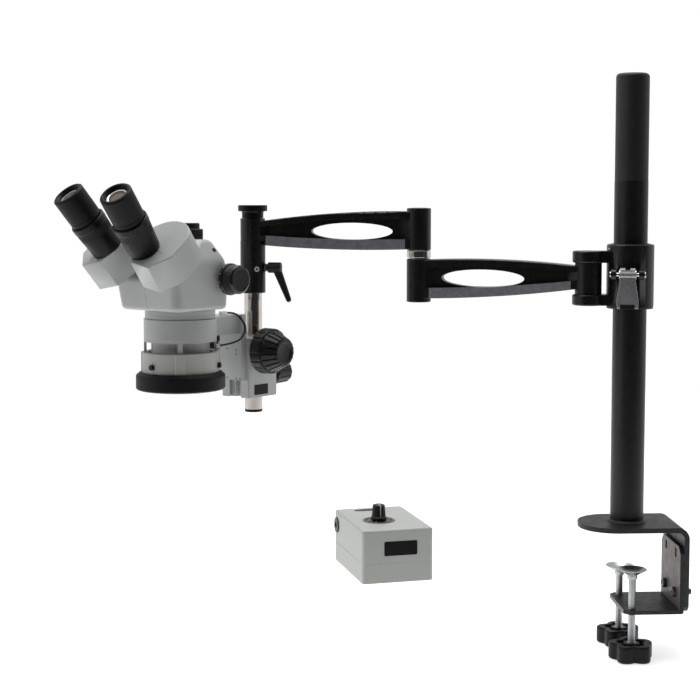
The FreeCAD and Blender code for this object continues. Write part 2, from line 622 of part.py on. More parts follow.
def head_holder():
    """Ring for the head's barrel, with an arm screwed to the slide."""
    z0, z1 = RING_HOLDER_Z
    hoop = cyl(HOLDER_RING_R, z0, z1, OPTICAL_OFFSET)
    hoop = hoop.makeFillet(1.0, edges_where(hoop, lambda b: b.ZLength < 0.01))
    arm = box((SLIDE_X[1], OPTICAL_OFFSET - 38), (-15.0, 15.0), (z0 + 1, z1 - 0.4))
    arm = arm.makeFillet(3.0, edges_where(arm, lambda b: b.XLength > 10 and b.ZMin > z1 - 1))
    holder = hoop.fuse(arm).removeSplitter()
    holder = holder.cut(cyl(BARREL_R, z0 - 1, z1 + 1, OPTICAL_OFFSET))
    x0, y0 = polar(BARREL_R - 1, LOCK_AZ, OPTICAL_OFFSET)
    x1, y1 = polar(HOLDER_RING_R + 1, LOCK_AZ, OPTICAL_OFFSET)
    return to_scope(holder.cut(rod(2.5 + RUN_CLEARANCE, (x0, y0, LOCK_Z), (x1, y1, LOCK_Z))))


def holder_lock_knob():
    knob = fluted(5.2, 5.2, 0.5, 12, 6.4, 14.0).fuse(cyl(3.4, 5.9, 6.6)).fuse(cyl(2.5, 0.3, 6.0))
    knob = turned(turned(knob.removeSplitter(), 90, V(0, 1, 0)), LOCK_AZ)
    x, y = polar(BARREL_R, LOCK_AZ)
    return to_optics(moved(knob, x, y, LOCK_Z))


# ---- ring light and its adapter ----
def light_adapter():
    """Band that grips the ring light, hung from the holder by a thin ring and four legs."""
    band = ring(40.2, 46.0, 189.0, 212.8)
    shelf = ring(36.5, 42.0, 189.0, 192.0)
    hoop = ring(40.0, 43.3, 225.5, RING_HOLDER_Z[0])
    body = band.fuse(shelf).fuse(hoop)
    for k in range(4):
        leg = box((40.2, 43.3), (-3.0, 3.0), (205.0, 226.0))
        rib = box((44.0, 46.8), (-6.4, 6.4), (189.0, 212.8))
        rib = rib.makeChamfer(1.0, edges_where(rib, lambda b: vertical(b) and b.XMax > 46.7))
        body = body.fuse(turned(leg.fuse(rib), LEG_AZ + 90 * k))
    for k in range(3):
        body = body.cut(turned(rod(2.0, (38, 0, 197.0), (50, 0, 197.0)), SCREW_AZ + 120 * k))
    exit_at, second = V(*CORD_POINTS[0]), V(*CORD_POINTS[1])
    root = exit_at + (exit_at - second).normalize() * 5.5
    outside = cyl(60.0, 200, 230).cut(cyl(43.0, 190, 240))
    gland = moved(Part.makeCylinder(2.1, 5.5, root, exit_at - root), -OPTICAL_OFFSET, 0).common(outside)
    return to_optics(body.fuse(gland).removeSplitter())


def adapter_screws():
    solids = []
    for k in range(3):
        screw = rod(2.0, (40.2, 0, 197.0), (46.5, 0, 197.0))
        screw = screw.fuse(rod(3.3, (46.3, 0, 197.0), (50.0, 0, 197.0)))
        solids.append(turned(screw, SCREW_AZ + 120 * k))
    return to_optics(group(solids))


def ring_light_housing():
    body = revolved([(33.0, 168.0), (35.0, 168.0), (35.0, 183.0), (51.0, 183.0), (51.0, 168.0),
                     (LIGHT_R - 0.8, 168.0), (LIGHT_R, 170.0), (LIGHT_R, 184.5), (LIGHT_R - 4.0, 189.0),
                     (33.0, 189.0)])
    return to_optics(body)


def ring_light_leds():
    """Ring board with two rows of round LEDs facing down."""
    solids = ring(35.2, 50.8, 181.0, 182.6)
    for row, count in ((39.5, 24), (46.5, 28)):
        for i in range(count):
            x, y = polar(row, 360 * i / count)
            solids = solids.fuse(cyl(1.5, 178.4, 181.1, x, y))
    return to_optics(solids.removeSplitter())


def light_diffuser():
    body = ring(35.3, 50.7, 166.5, 169.5).fuse(ring(35.3, LIGHT_R - 3.0, 166.5, 167.9))
    return to_optics(body.removeSplitter())


def cord_path(points):
    """Straight runs joined by tangent arcs as large as the runs allow."""
    pts = [V(*p) for p in points]
    edges = []
    start = pts[0]
    for before, corner, after in zip(pts, pts[1:], pts[2:]):
        back, ahead = before - corner, after - corner
        half_turn = (math.pi - back.getAngle(ahead)) / 2
        trim = 0.45 * min(back.Length, ahead.Length)
        radius = trim / math.tan(half_turn)
        back.normalize()
        ahead.normalize()
        first, last = corner + back * trim, corner + ahead * trim
        middle = corner + (back + ahead).normalize() * (radius / math.cos(half_turn) - radius)
        edges += [Part.makeLine(start, first), Part.Arc(first, middle, last).toShape()]
        start = last
        print("cord radius", round(radius, 1))
    edges.append(Part.makeLine(start, pts[-1]))
    return Part.Wire(edges)


def light_cord():
    path = cord_path(CORD_POINTS)
    start = path.Edges[0]
    direction = start.tangentAt(start.FirstParameter)
    section = Part.Wire(Part.makeCircle(CORD_R, V(*CORD_POINTS[0]), direction))
    tube = Part.Wire(path.Edges).makePipeShell([section], True, False)
    print("cord volume", round(tube.Volume, 2), "section x length",
          round(math.pi * CORD_R ** 2 * path.Length, 2), "length", round(path.Length, 1))
    return to_scope(tube)


def cord_connector():
    """Small two-way plug housing lying on the holder's arm."""
    x, y, z = CORD_POINTS[-1]
    shell = box((x, x + 9.0), (y - 3.2, y + 3.2), (CONNECTOR_LOW_Z, CONNECTOR_LOW_Z + 5.0))
    shell = shell.makeChamfer(0.6, edges_where(shell, lambda b: b.XLength > 5 and b.ZMin > z))
    for side in (-1, 1):
        pin_y = y + side * 1.5
        shell = shell.cut(box((x + 4.0, x + 10.0), (pin_y - 0.8, pin_y + 0.8), (z - 1, z + 1)))
    return to_scope(shell.cut(rod(CORD_R, CORD_POINTS[-2], CORD_POINTS[-1])))


# ---- microscope head, about the optical axis ----
def tilted_axis():
    t, d = math.radians(TILT), math.radians(DIVERGE)
    return V(math.sin(t) * math.cos(d), math.sin(d), math.cos(t) * math.cos(d))


def to_eye(shape):
    """From the right eyepiece's frame: Z along the tube, Y up the housing's face, X outwards."""
    axis = tilted_axis()
    back = V(-axis.z, 0, axis.x).normalize()
    out = back.cross(axis)
    x, y, z = TUBE_FOOT
    placed = shape.copy()
    placed.transformShape(FreeCAD.Matrix(out.x, back.x, axis.x, x, out.y, back.y, axis.y, y,
                                         out.z, back.z, axis.z, z, 0, 0, 0, 1), True)
    return placed


def to_side(shape, side):
    """Shapes of the head are drawn for the right side; the left side is their mirror image."""
    return to_optics(shape if side > 0 else shape.mirror(ZERO, V(0, 1, 0)))


def housing_outline(inset):
    """Horseshoe outline of a prism housing: chamfered front, round back."""
    r = HOUSING_R - inset
    cx, cy = PIVOT_U, PIVOT_V
    front = [V(cx - r, cy - 14 + 0.4 * inset, 0), V(-5.0 + 0.6 * inset, -22.5 + inset, 0),
             V(24.5 - 0.4 * inset, -26.7 + inset, 0), V(cx + r, -4.0 + 0.6 * inset, 0)]
    edges = [Part.makeLine(a, b) for a, b in zip(front, front[1:])]
    edges.append(Part.makeLine(front[-1], V(cx + r, cy, 0)))
    edges.append(Part.Arc(V(cx + r, cy, 0), V(cx, cy + r, 0), V(cx - r, cy, 0)).toShape())
    edges.append(Part.makeLine(V(cx - r, cy, 0), front[0]))
    return Part.Wire(edges)


def prism_housing(side):
    """Hollow housing with a round spigot at the lower end that turns in the shell's seat."""
    body = Part.Face(housing_outline(0)).extrude(V(0, 0, -HOUSING_L))
    body = body.makeFillet(1.5, edges_where(body, lambda b: b.ZMin > -0.01))
    hollow = Part.Face(housing_outline(3.0)).extrude(V(0, 0, -HOUSING_L + 6.0))
    body = body.cut(moved(hollow, 0, 0, -3.0)).cut(cyl(15.0, -5, 1))
    spigot = ring(8.0, 14.0, -HOUSING_L - 8.0, -HOUSING_L + 1, PIVOT_U, PIVOT_V)
    body = body.fuse(spigot).cut(cyl(8.0, -HOUSING_L - 9, -HOUSING_L + 4, PIVOT_U, PIVOT_V))
    return to_side(to_eye(body.removeSplitter()), side)


def eye_tube(side):
    tube = revolved([(15.05, 0), (18.4, 0), (18.6, 2.0), (20.6, TUBE_L - 8), (20.9, TUBE_L - 7.4),
                     (20.9, TUBE_L - 0.6), (20.3, TUBE_L), (15.05, TUBE_L)])
    return to_side(to_eye(tube), side)


def eyepiece(side):
    top = EYEPIECE_TOP
    body = revolved([(12.0, 22.0), (15.0, 22.0), (15.0, TUBE_L + 0.3), (18.7, TUBE_L + 0.3), (18.9, 60.0),
                     (18.9, top - 2.0), (17.4, top), (14.2, top), (11.6, top - 4.0), (11.6, top - 8.5),
                     (12.0, top - 8.5)])
    return to_side(to_eye(body), side)


def eye_lens(side):
    top = EYEPIECE_TOP
    lens = revolved([(0, top - 8.3), (11.6, top - 8.3), (11.6, top - 5.6), (8.0, top - 4.9), (4.0, top - 4.6),
                     (0, top - 4.5)])
    return to_side(to_eye(lens), side)


def rounded_wire(x0, x1, half, r, z):
    """Rounded rectangle from x0 to x1 and from -half to half, at height z."""
    centres = [(x1 - r, half - r), (x0 + r, half - r), (x0 + r, r - half), (x1 - r, r - half)]
    arcs = []
    for quarter, (x, y) in enumerate(centres):
        ends = [V(*polar(r, 90 * quarter + t, x, y), z) for t in (0, 45, 90)]
        arcs.append(Part.Arc(*ends).toShape())
    edges = []
    for arc, following in zip(arcs, arcs[1:] + arcs[:1]):
        edges += [arc, Part.makeLine(arc.lastVertex().Point, following.firstVertex().Point)]
    return Part.Wire(edges)


def body_block(inset):
    """Outer (or, with an inset, inner) form of the head's two shells together."""
    sections = [(BODY_LOW_Z + inset, 53.0, BODY_BACK, BODY_HALF_W - 1.5, 11.0),
                (303.0 - 0.5 * inset, 60.0, BODY_BACK, BODY_HALF_W + 1.0, 11.0),
                (322.0, 36.7 - 0.6 * inset, -31.0, BODY_HALF_W + 1.0, 11.0),
                (BODY_TOP_Z - inset, 6.0 + 0.6 * inset, -18.0, BODY_HALF_W - 14.0, 9.0)]
    wires = [rounded_wire(back + inset, front - inset, half - inset, r - inset, z)
             for z, front, back, half, r in sections]
    return Part.makeLoft(wires, True, True)


def head_shell(side):
    """One half of the head's casing, with the tilted seat that a prism housing turns in."""
    seat = cyl(24.0, -HOUSING_L - 16.0, -HOUSING_L - 0.4, PIVOT_U, PIVOT_V)
    bore = cyl(14.0 + RUN_CLEARANCE, -HOUSING_L - 20.0, -HOUSING_L + 5.0, PIVOT_U, PIVOT_V)
    shell = body_block(0).fuse(to_eye(seat)).cut(body_block(SHELL_T)).cut(to_eye(bore))
    shell = shell.common(box((-100, 150), (0, 120), (200, 500)))
    shell = shell.cut(cyl(36.5, BODY_LOW_Z - 1, BODY_LOW_Z + 8))
    boss_end = BODY_HALF_W + ZOOM_BOSS_H
    shell = shell.fuse(rod(ZOOM_BOSS_R, (ZOOM_X, BODY_HALF_W - 1.5, ZOOM_Z), (ZOOM_X, boss_end, ZOOM_Z)))
    shell = shell.cut(rod(4.0, (ZOOM_X, 40, ZOOM_Z), (ZOOM_X, 60, ZOOM_Z)))
    shell = shell.cut(cyl(9.0, BODY_TOP_Z - 8, BODY_TOP_Z + 1, *CAP_AT))
    shell = shell.cut(rod(2.2, (-13.0, 30, 334.0), (-13.0, 60, 334.0)))
    return to_side(shell.removeSplitter(), side)


def head_frame():
    """Barrel that sits in the holder, base plate, shaft brackets and two guide rods."""
    barrel = revolved([(29.0, 200.0), (34.5, 200.0), (35.0, 201.0), (35.0, 227.0), (BARREL_R - 0.05, 228.5),
                       (BARREL_R - 0.05, 253.3), (FLANGE_R - 0.6, 253.3), (FLANGE_R, 254.0),
                       (FLANGE_R, 263.0), (FLANGE_R - 0.8, 263.9), (36.0, 263.9), (36.0, 268.0),
                       (29.0, 268.0)])
    plate = box((-28.0, 30.0), (-40.0, 40.0), (268.0, 271.0)).cut(cyl(24.0, 260, 280))
    body = barrel.fuse(plate)
    for side in (-1, 1):
        bracket = box((ZOOM_X - 4, ZOOM_X + 4), (side * 38.5 - 2.5, side * 38.5 + 2.5), (271.0, 306.0))
        body = body.fuse(bracket).fuse(cyl(2.5, 270.5, 322.0, 12.0, side * 28.0))
    body = body.cut(rod(3.0 + RUN_CLEARANCE, (ZOOM_X, -60, ZOOM_Z), (ZOOM_X, 60, ZOOM_Z)))
    return to_optics(body.removeSplitter())


def objective_lens():
    lens = revolved([(0, 202.0), (29.0, 203.5), (29.0, 209.0), (0, 211.0)])
    return to_optics(lens)


def zoom_shaft():
    return to_optics(rod(3.0, (ZOOM_X, -70.0, ZOOM_Z), (ZOOM_X, 70.0, ZOOM_Z)))


def zoom_knobs():
    pair = []
    for side in (-1, 1):
        disc = cyl(19.0, 0, 5.0)
        disc = disc.makeFillet(0.8, edges_where(disc, lambda b: b.ZLength < 0.01))
        grip = cyl(17.4, 4.8, 20.0)
        grip = grip.makeFillet(2.2, edges_where(grip, lambda b: b.ZMin > 19.9))
        knob = disc.fuse(grip).cut(cyl(3.0, -1, 17.0)).removeSplitter()
        knob = turned(knob, -90 * side, V(1, 0, 0))
        pair.append(moved(knob, ZOOM_X, side * (BODY_HALF_W + ZOOM_BOSS_H + 0.5), ZOOM_Z))
    return to_optics(group(pair))


def zoom_lens_carrier():
    """Plate with the two zoom lens barrels, guided on the frame's rods."""
    plate = box((-14.0, 17.0), (-33.0, 33.0), (288.0, 292.0))
    for side in (-1, 1):
        plate = plate.fuse(cyl(11.0, 281.0, 299.0, 0, side * 14.0))
    for side in (-1, 1):
        plate = plate.cut(cyl(9.0, 280, 300, 0, side * 14.0))
        plate = plate.fuse(cyl(9.0, 288.5, 291.5, 0, side * 14.0))
        plate = plate.cut(cyl(2.5 + RUN_CLEARANCE, 280, 300, 12.0, side * 28.0))
    return to_optics(plate.removeSplitter())


def phototube_cap():
    x, y = CAP_AT
    cap = cyl(16.0, BODY_TOP_Z, 359.0, x, y).fuse(cyl(12.0, 358.5, 366.0, x, y))
    cap = cap.makeFillet(1.2, edges_where(cap, lambda b: b.ZLength < 0.01 and b.ZMin > 358.6))
    return to_optics(cap.fuse(cyl(8.9, BODY_TOP_Z - 5, BODY_TOP_Z + 1, x, y)).removeSplitter())


# ---- light controller ----
def at_controller(shape):
    return moved(turned(shape, CONTROLLER_YAW), *CONTROLLER_AT)


def case_form(inset, z0, z1):
    form = box((-CASE_W / 2 + inset, CASE_W / 2 - inset), (-CASE_L / 2 + inset, CASE_L / 2 - inset), (z0, z1))
    return form.makeFillet(4.0 - inset, edges_where(form, lambda b: vertical(b)))


def controller_base():
    tray = case_form(0, 1.0, CASE_SEAM_Z).cut(case_form(CASE_WALL, 1.0 + CASE_WALL, CASE_SEAM_Z + 1))
    for sx in (-1, 1):
        for sy in (-1, 1):
            x, y = sx * (CASE_W / 2 - 10), sy * (CASE_L / 2 - 10)
            tray = tray.fuse(cyl(5.0, 0, 1.5, x, y)).fuse(cyl(2.5, 3.0, CASE_SEAM_Z, x, y))
    return at_controller(tray.removeSplitter())


def controller_cover():
    cover = case_form(0, CASE_SEAM_Z, CASE_H)
    cover = cover.makeFillet(2.5, edges_where(cover, lambda b: b.ZMin > CASE_H - 0.1))
    cover = cover.cut(case_form(CASE_WALL, CASE_SEAM_Z - 1, CASE_H - CASE_WALL))
    cover = cover.cut(cyl(3.6, CASE_H - 5, CASE_H + 1, *DIAL_AT))
    cover = cover.cut(rod(8.0, (-CASE_W / 2 - 1, JACK_Y, JACK_Z), (-CASE_W / 2 + 4, JACK_Y, JACK_Z)))
    return at_controller(cover.removeSplitter())


def controller_board():
    """Circuit board with the dimmer's potentiometer under the knob."""
    x, y = DIAL_AT
    board = box((-CASE_W / 2 + 6, CASE_W / 2 - 16), (-30.0, 34.0), (CASE_SEAM_Z + 1, CASE_SEAM_Z + 2.6))
    pot = cyl(8.0, CASE_SEAM_Z + 2.6, CASE_H - CASE_WALL - 0.3, x, y)
    return at_controller(board.fuse(pot).fuse(cyl(3.5, CASE_H - 3, CASE_H + 0.9, x, y))
                         .cut(cyl(2.05, CASE_H - 12, CASE_H + 2, x, y)).removeSplitter())


def controller_jack():
    body = rod(8.0, (-CASE_W / 2 - 1.5, JACK_Y, JACK_Z), (-CASE_W / 2 + 4, JACK_Y, JACK_Z))
    body = body.cut(rod(3.2, (-CASE_W / 2 - 2, JACK_Y, JACK_Z), (-CASE_W / 2 + 3, JACK_Y, JACK_Z)))
    side_x = -CASE_W / 2
    return at_controller(body.fuse(rod(1.0, (side_x, JACK_Y, JACK_Z), (side_x + 4, JACK_Y, JACK_Z))))


def controller_knob():
    knob = fluted(7.4, 6.4, 0.35, 18, CASE_H + 3.0, CASE_H + 17.0).fuse(cyl(8.4, CASE_H + 1.2, CASE_H + 4.2))
    knob = knob.fuse(cyl(2.0, CASE_H - 11, CASE_H + 2))
    return at_controller(moved(knob.removeSplitter(), *DIAL_AT))


def save_all():
    os.makedirs("parts", exist_ok=True)
    for maker in (clamp_bracket, clamp_jaw, jaw_bolts, pole_lower, pole_upper, collar_bush, pole_collar,
                  collar_pins, cam_lever, lower_arm, elbow_pin, elbow_ring, upper_arm, swivel_knob,
                  post_holder, holder_lever, scope_post, post_end_ring, focus_block, block_clamp_knob,
                  pinion_shaft, focus_knobs, focus_rack, focus_slide, head_holder, holder_lock_knob,
                  light_adapter, adapter_screws, ring_light_housing, ring_light_leds, light_diffuser,
                  light_cord, cord_connector, head_frame, objective_lens, zoom_shaft, zoom_knobs,
                  zoom_lens_carrier, phototube_cap, controller_base, controller_cover,
                  controller_board, controller_jack, controller_knob):
        save(maker.__name__, maker())
    for side in ("near", "far"):
        save(side + "_clamp_pad", clamp_pad(side))
        save(side + "_clamp_screw", clamp_screw(side))
        save(side + "_star_knob", star_knob(side))
    for name, side in (("right", 1), ("left", -1)):
        save(name + "_shell", head_shell(side))
        save(name + "_prism_housing", prism_housing(side))
        save(name + "_eye_tube", eye_tube(side))
        save(name + "_eyepiece", eyepiece(side))
        save(name + "_eye_lens", eye_lens(side))


save_all()
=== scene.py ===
import json
import math

import bmesh
import bpy
from mathutils import Matrix, Vector


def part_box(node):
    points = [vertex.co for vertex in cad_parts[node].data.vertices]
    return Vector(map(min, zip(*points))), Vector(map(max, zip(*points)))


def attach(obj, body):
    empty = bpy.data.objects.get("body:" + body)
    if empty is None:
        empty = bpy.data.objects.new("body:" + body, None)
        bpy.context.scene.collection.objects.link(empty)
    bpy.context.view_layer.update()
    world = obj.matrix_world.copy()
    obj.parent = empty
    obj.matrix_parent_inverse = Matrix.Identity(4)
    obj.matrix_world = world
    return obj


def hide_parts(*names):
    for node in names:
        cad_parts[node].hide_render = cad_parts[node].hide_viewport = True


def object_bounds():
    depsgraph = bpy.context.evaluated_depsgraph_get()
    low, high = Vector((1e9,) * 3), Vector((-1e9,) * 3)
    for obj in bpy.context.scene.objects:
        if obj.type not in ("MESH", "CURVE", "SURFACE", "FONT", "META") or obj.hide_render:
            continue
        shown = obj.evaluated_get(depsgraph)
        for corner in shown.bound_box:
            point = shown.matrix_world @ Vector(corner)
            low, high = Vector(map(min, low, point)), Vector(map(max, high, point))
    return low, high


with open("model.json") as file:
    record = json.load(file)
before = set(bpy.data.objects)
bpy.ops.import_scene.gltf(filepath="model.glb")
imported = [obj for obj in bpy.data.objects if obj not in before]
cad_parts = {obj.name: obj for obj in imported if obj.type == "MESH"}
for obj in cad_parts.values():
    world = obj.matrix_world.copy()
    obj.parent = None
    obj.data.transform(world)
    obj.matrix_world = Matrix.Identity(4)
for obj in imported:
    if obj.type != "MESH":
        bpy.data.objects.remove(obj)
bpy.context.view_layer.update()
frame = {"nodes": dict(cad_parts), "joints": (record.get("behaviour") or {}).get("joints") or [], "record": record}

# ---- sizes in millimetres, and other fixed values ----
MM = 0.001
UP = Vector((0, 0, 1))
POLE_R, POLE_INNER_R, UPPER_POLE_R = 20.0, 17.0, 19.75
POLE_FOOT_Z, POLE_JOINT_Z, POLE_TOP_Z = 6.0, 416.0, 543.0
POST_R = 11.25
LEVER_START = 15.75
ARM_HALF = 11.3
FLANGE_MIDDLE, FLANGE_HALF = 106.5, 87.5
PRIMER_TOP = -8.0
COLLAR_R = 27.6
PHOTOTUBE_X = -17.0
BOX_YAW = math.radians(15)
ARM_BLACK = (0.007, 0.007, 0.008)
BARE = 0.45
BACKDROP = (1.35, 1.35, 1.35)
MIX_FACTOR, MIX_A, MIX_B, MIX_OUT = 0, 6, 7, 2
NODES = frame["nodes"]
SLOT_OF = {p["node"]: p["material_slot"] for p in frame["record"]["subparts"]}
BODY_OF = {n: b for b, ns in frame["record"]["behaviour"]["bodies"].items() for n in ns}
JOINTS = {j["name"]: j for j in frame["joints"]}
USED = set()


# ---- frames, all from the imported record's joints ----
def at(name):
    return Vector(JOINTS[name]["pos_m"])


def axis_of(name):
    return Vector(JOINTS[name]["axis"]).normalized()


def flat(v):
    return Vector((v.x, v.y, 0))


def basis(origin, x, z=UP):
    """Matrix from millimetres in a local frame to metres in the row frame."""
    z = z.normalized()
    y = z.cross(x).normalized()
    x = y.cross(z)
    turn = Matrix((x, y, z)).transposed().to_4x4()
    return Matrix.Translation(origin) @ turn @ Matrix.Scale(MM, 4)


POST = flat(at("holder_turn"))
OPTIC = flat(at("head_turn"))
ELBOW = flat(at("elbow_swing"))
CLEVIS = flat(at("lower_arm_swing"))
FRONT = (OPTIC - POST).normalized()
WORLD = basis(Vector(), Vector((1, 0, 0)))
SCOPE = basis(POST, FRONT)
OPTICS = basis(OPTIC, FRONT)
ARM_1 = basis(CLEVIS, ELBOW - CLEVIS)
ARM_2 = basis(POST, ELBOW - POST)
PITCH = at("far_screw_turn") - at("near_screw_turn")
CLAMP = basis(Vector(), PITCH.cross(UP))
CAM = basis(Vector(), -axis_of("cam_lever_turn"))
LEVER = basis(Vector((POST.x, POST.y, at("holder_lever_turn").z)), axis_of("holder_lever_turn"))
CASE = basis(flat(at("dimmer_turn")), Vector((math.cos(BOX_YAW), math.sin(BOX_YAW), 0)))

EYE_AXIS = (OPTICS.to_3x3().inverted() @ axis_of("right_diopter_turn")).normalized()
EYE_FOOT = OPTICS.inverted() @ at("right_diopter_turn") - EYE_AXIS * 60.0
EYE_BACK = Vector((-EYE_AXIS.z, 0, EYE_AXIS.x)).normalized()
EYE_LOCAL = Matrix.Translation(EYE_FOOT) @ Matrix(
    (EYE_BACK.cross(EYE_AXIS), EYE_BACK, EYE_AXIS)).transposed().to_4x4()
MIRROR = Matrix.Diagonal((1, -1, 1, 1))
EYE = {"right": OPTICS @ EYE_LOCAL, "left": OPTICS @ MIRROR @ EYE_LOCAL}


def lying(matrix, origin, direction, up=(0, 0, 1)):
    """A frame inside another one, with Z along direction."""
    z = Vector(direction).normalized()
    x = Vector(up).cross(z)
    if x.length < 1e-6:
        x = Vector((1, 0, 0))
    x.normalize()
    y = z.cross(x)
    return matrix @ Matrix.Translation(Vector(origin)) @ Matrix((x, y, z)).transposed().to_4x4()


# ---- materials ----
def new_material(name):
    mat = bpy.data.materials.new(name)
    mat.use_nodes = True
    return mat, mat.node_tree, mat.node_tree.nodes["Principled BSDF"]


def node(nt, kind, **values):
    made = nt.nodes.new("ShaderNode" + kind)
    for key, value in values.items():
        if hasattr(made, key):
            setattr(made, key, value)
        else:
            made.inputs[key].default_value = value
    return made


def link(nt, a, out, b, into):
    nt.links.new(a.outputs[out], b.inputs[into])


def noise(nt, scale, detail=4.0, rough=0.55):
    """Noise on the object's own coordinates, in metres."""
    coord = node(nt, "TexCoord")
    tex = node(nt, "TexNoise", Scale=scale, Detail=detail, Roughness=rough)
    link(nt, coord, "Object", tex, "Vector")
    return tex


def ranged(nt, source, out, low, high, start=0.3, stop=0.7):
    """Maps start..stop to low..high."""
    fit = node(nt, "MapRange")
    for key, value in (("From Min", start), ("From Max", stop), ("To Min", low), ("To Max", high)):
        fit.inputs[key].default_value = value
    link(nt, source, out, fit, "Value")
    return fit


def bumped(nt, source, out, strength, distance):
    """Bump from a texture, into the material's normal."""
    bump = node(nt, "Bump", Strength=strength, Distance=distance)
    link(nt, source, out, bump, "Height")
    link(nt, bump, "Normal", nt.nodes["Principled BSDF"], "Normal")


def along_axis(nt, direction, space="Object"):
    """Component of the object's coordinates, or of its normal, along a direction."""
    coord = node(nt, "TexCoord")
    dot = node(nt, "VectorMath", operation="DOT_PRODUCT")
    dot.inputs[1].default_value = direction
    link(nt, coord, space, dot, 0)
    return dot


def two_tone(nt, tex, a, b, start=0.35, stop=0.65):
    ramp = node(nt, "ValToRGB")
    ramp.color_ramp.elements[0].position = start
    ramp.color_ramp.elements[1].position = stop
    ramp.color_ramp.elements[0].color = (*a, 1)
    ramp.color_ramp.elements[1].color = (*b, 1)
    link(nt, tex, "Fac", ramp, "Fac")
    return ramp


def shade(colour, k):
    return tuple(min(1.0, c * k) for c in colour)


def finish_of(name, colour, rough, grain=(1400.0, 0.12, 0.00006), spread=0.08, swing=0.08, metallic=0.0,
              specular=0.5, coat=0.0, wear=0.0):
    """Paint, plastic or metal: mottled colour, uneven gloss, a fine grain and lighter rubbed edges."""
    mat, nt, bsdf = new_material(name)
    bsdf.inputs["Metallic"].default_value = metallic
    bsdf.inputs["Specular IOR Level"].default_value = specular
    bsdf.inputs["Coat Weight"].default_value = coat
    bsdf.inputs["Coat Roughness"].default_value = 0.2
    broad = noise(nt, 38.0, 5.0, 0.6)
    colours = two_tone(nt, broad, shade(colour, 1 - spread), shade(colour, 1 + spread))
    last, out = colours, "Color"
    if wear:
        edge = node(nt, "NewGeometry")
        worn = ranged(nt, edge, "Pointiness", 0.0, wear, 0.53, 0.62)
        scuff = noise(nt, 420.0, 6.0, 0.7)
        scuffed = ranged(nt, scuff, "Fac", 0.0, 1.0, 0.42, 0.62)
        both = node(nt, "Math", operation="MULTIPLY")
        link(nt, worn, "Result", both, 0)
        link(nt, scuffed, "Result", both, 1)
        mix = node(nt, "Mix", data_type="RGBA")
        mix.inputs[MIX_B].default_value = (*[BARE + (1 - BARE) * c for c in colour], 1)
        nt.links.new(both.outputs[0], mix.inputs[MIX_FACTOR])
        nt.links.new(colours.outputs["Color"], mix.inputs[MIX_A])
        last, out = mix, MIX_OUT
    nt.links.new(last.outputs[out], bsdf.inputs["Base Color"])
    smudge = noise(nt, 95.0, 6.0, 0.65)
    gloss = ranged(nt, smudge, "Fac", max(0.02, rough - swing), min(1.0, rough + swing))
    link(nt, gloss, "Result", bsdf, "Roughness")
    bumped(nt, noise(nt, grain[0], 3.0, 0.6), "Fac", grain[1], grain[2])
    return mat


def turned_metal(name, colour, rough, lines=1600.0, depth=0.000004, strength=0.06):
    """Metal turned on a lathe: fine rings along the height, and uneven polish."""
    mat, nt, bsdf = new_material(name)
    bsdf.inputs["Metallic"].default_value = 1.0
    tex = node(nt, "TexNoise", noise_dimensions="1D", Scale=lines, Detail=3.0)
    link(nt, along_axis(nt, UP), "Value", tex, "W")
    bumped(nt, tex, "Fac", strength, depth)
    broad = noise(nt, 60.0, 5.0)
    tone = two_tone(nt, broad, shade(colour, 0.93), shade(colour, 1.05))
    link(nt, tone, "Color", bsdf, "Base Color")
    gloss = ranged(nt, broad, "Fac", rough * 0.7, rough * 1.4)
    link(nt, gloss, "Result", bsdf, "Roughness")
    return mat


def speckled(name, colour, other, rough, scale=900.0, specular=0.5):
    """Moulded plastic with a spark-eroded texture."""
    mat, nt, bsdf = new_material(name)
    bsdf.inputs["Specular IOR Level"].default_value = specular
    coord = node(nt, "TexCoord")
    cells = node(nt, "TexVoronoi", Scale=scale)
    link(nt, coord, "Object", cells, "Vector")
    fine = noise(nt, scale * 0.9, 3.0)
    tone = two_tone(nt, fine, colour, other, 0.3, 0.7)
    link(nt, tone, "Color", bsdf, "Base Color")
    bumped(nt, cells, "Distance", 0.35, 0.00008)
    gloss = ranged(nt, fine, "Fac", rough - 0.06, rough + 0.08)
    link(nt, gloss, "Result", bsdf, "Roughness")
    return mat


def lens_glass(name, tint, rim):
    """Coated glass: deep tint seen straight on, paler at a grazing angle."""
    mat, nt, bsdf = new_material(name)
    facing = node(nt, "LayerWeight", Blend=0.35)
    tone = node(nt, "ValToRGB")
    tone.color_ramp.elements[0].color = (*tint, 1)
    tone.color_ramp.elements[1].color = (*rim, 1)
    link(nt, facing, "Facing", tone, "Fac")
    link(nt, tone, "Color", bsdf, "Base Color")
    bsdf.inputs["Roughness"].default_value = 0.10
    bsdf.inputs["IOR"].default_value = 1.35
    bumped(nt, noise(nt, 900.0, 5.0), "Fac", 0.02, 0.00002)
    return mat


def compared(nt, source, out, operation, value, slack=0.0):
    """1 where a value compares as asked with a fixed number, else 0."""
    test = node(nt, "Math", operation=operation)
    test.inputs[1].default_value = value
    test.inputs[2].default_value = slack
    link(nt, source, out, test, 0)
    return test


def both_of(nt, first, second):
    product = node(nt, "Math", operation="MULTIPLY")
    link(nt, first, 0, product, 0)
    link(nt, second, 0, product, 1)
    return product


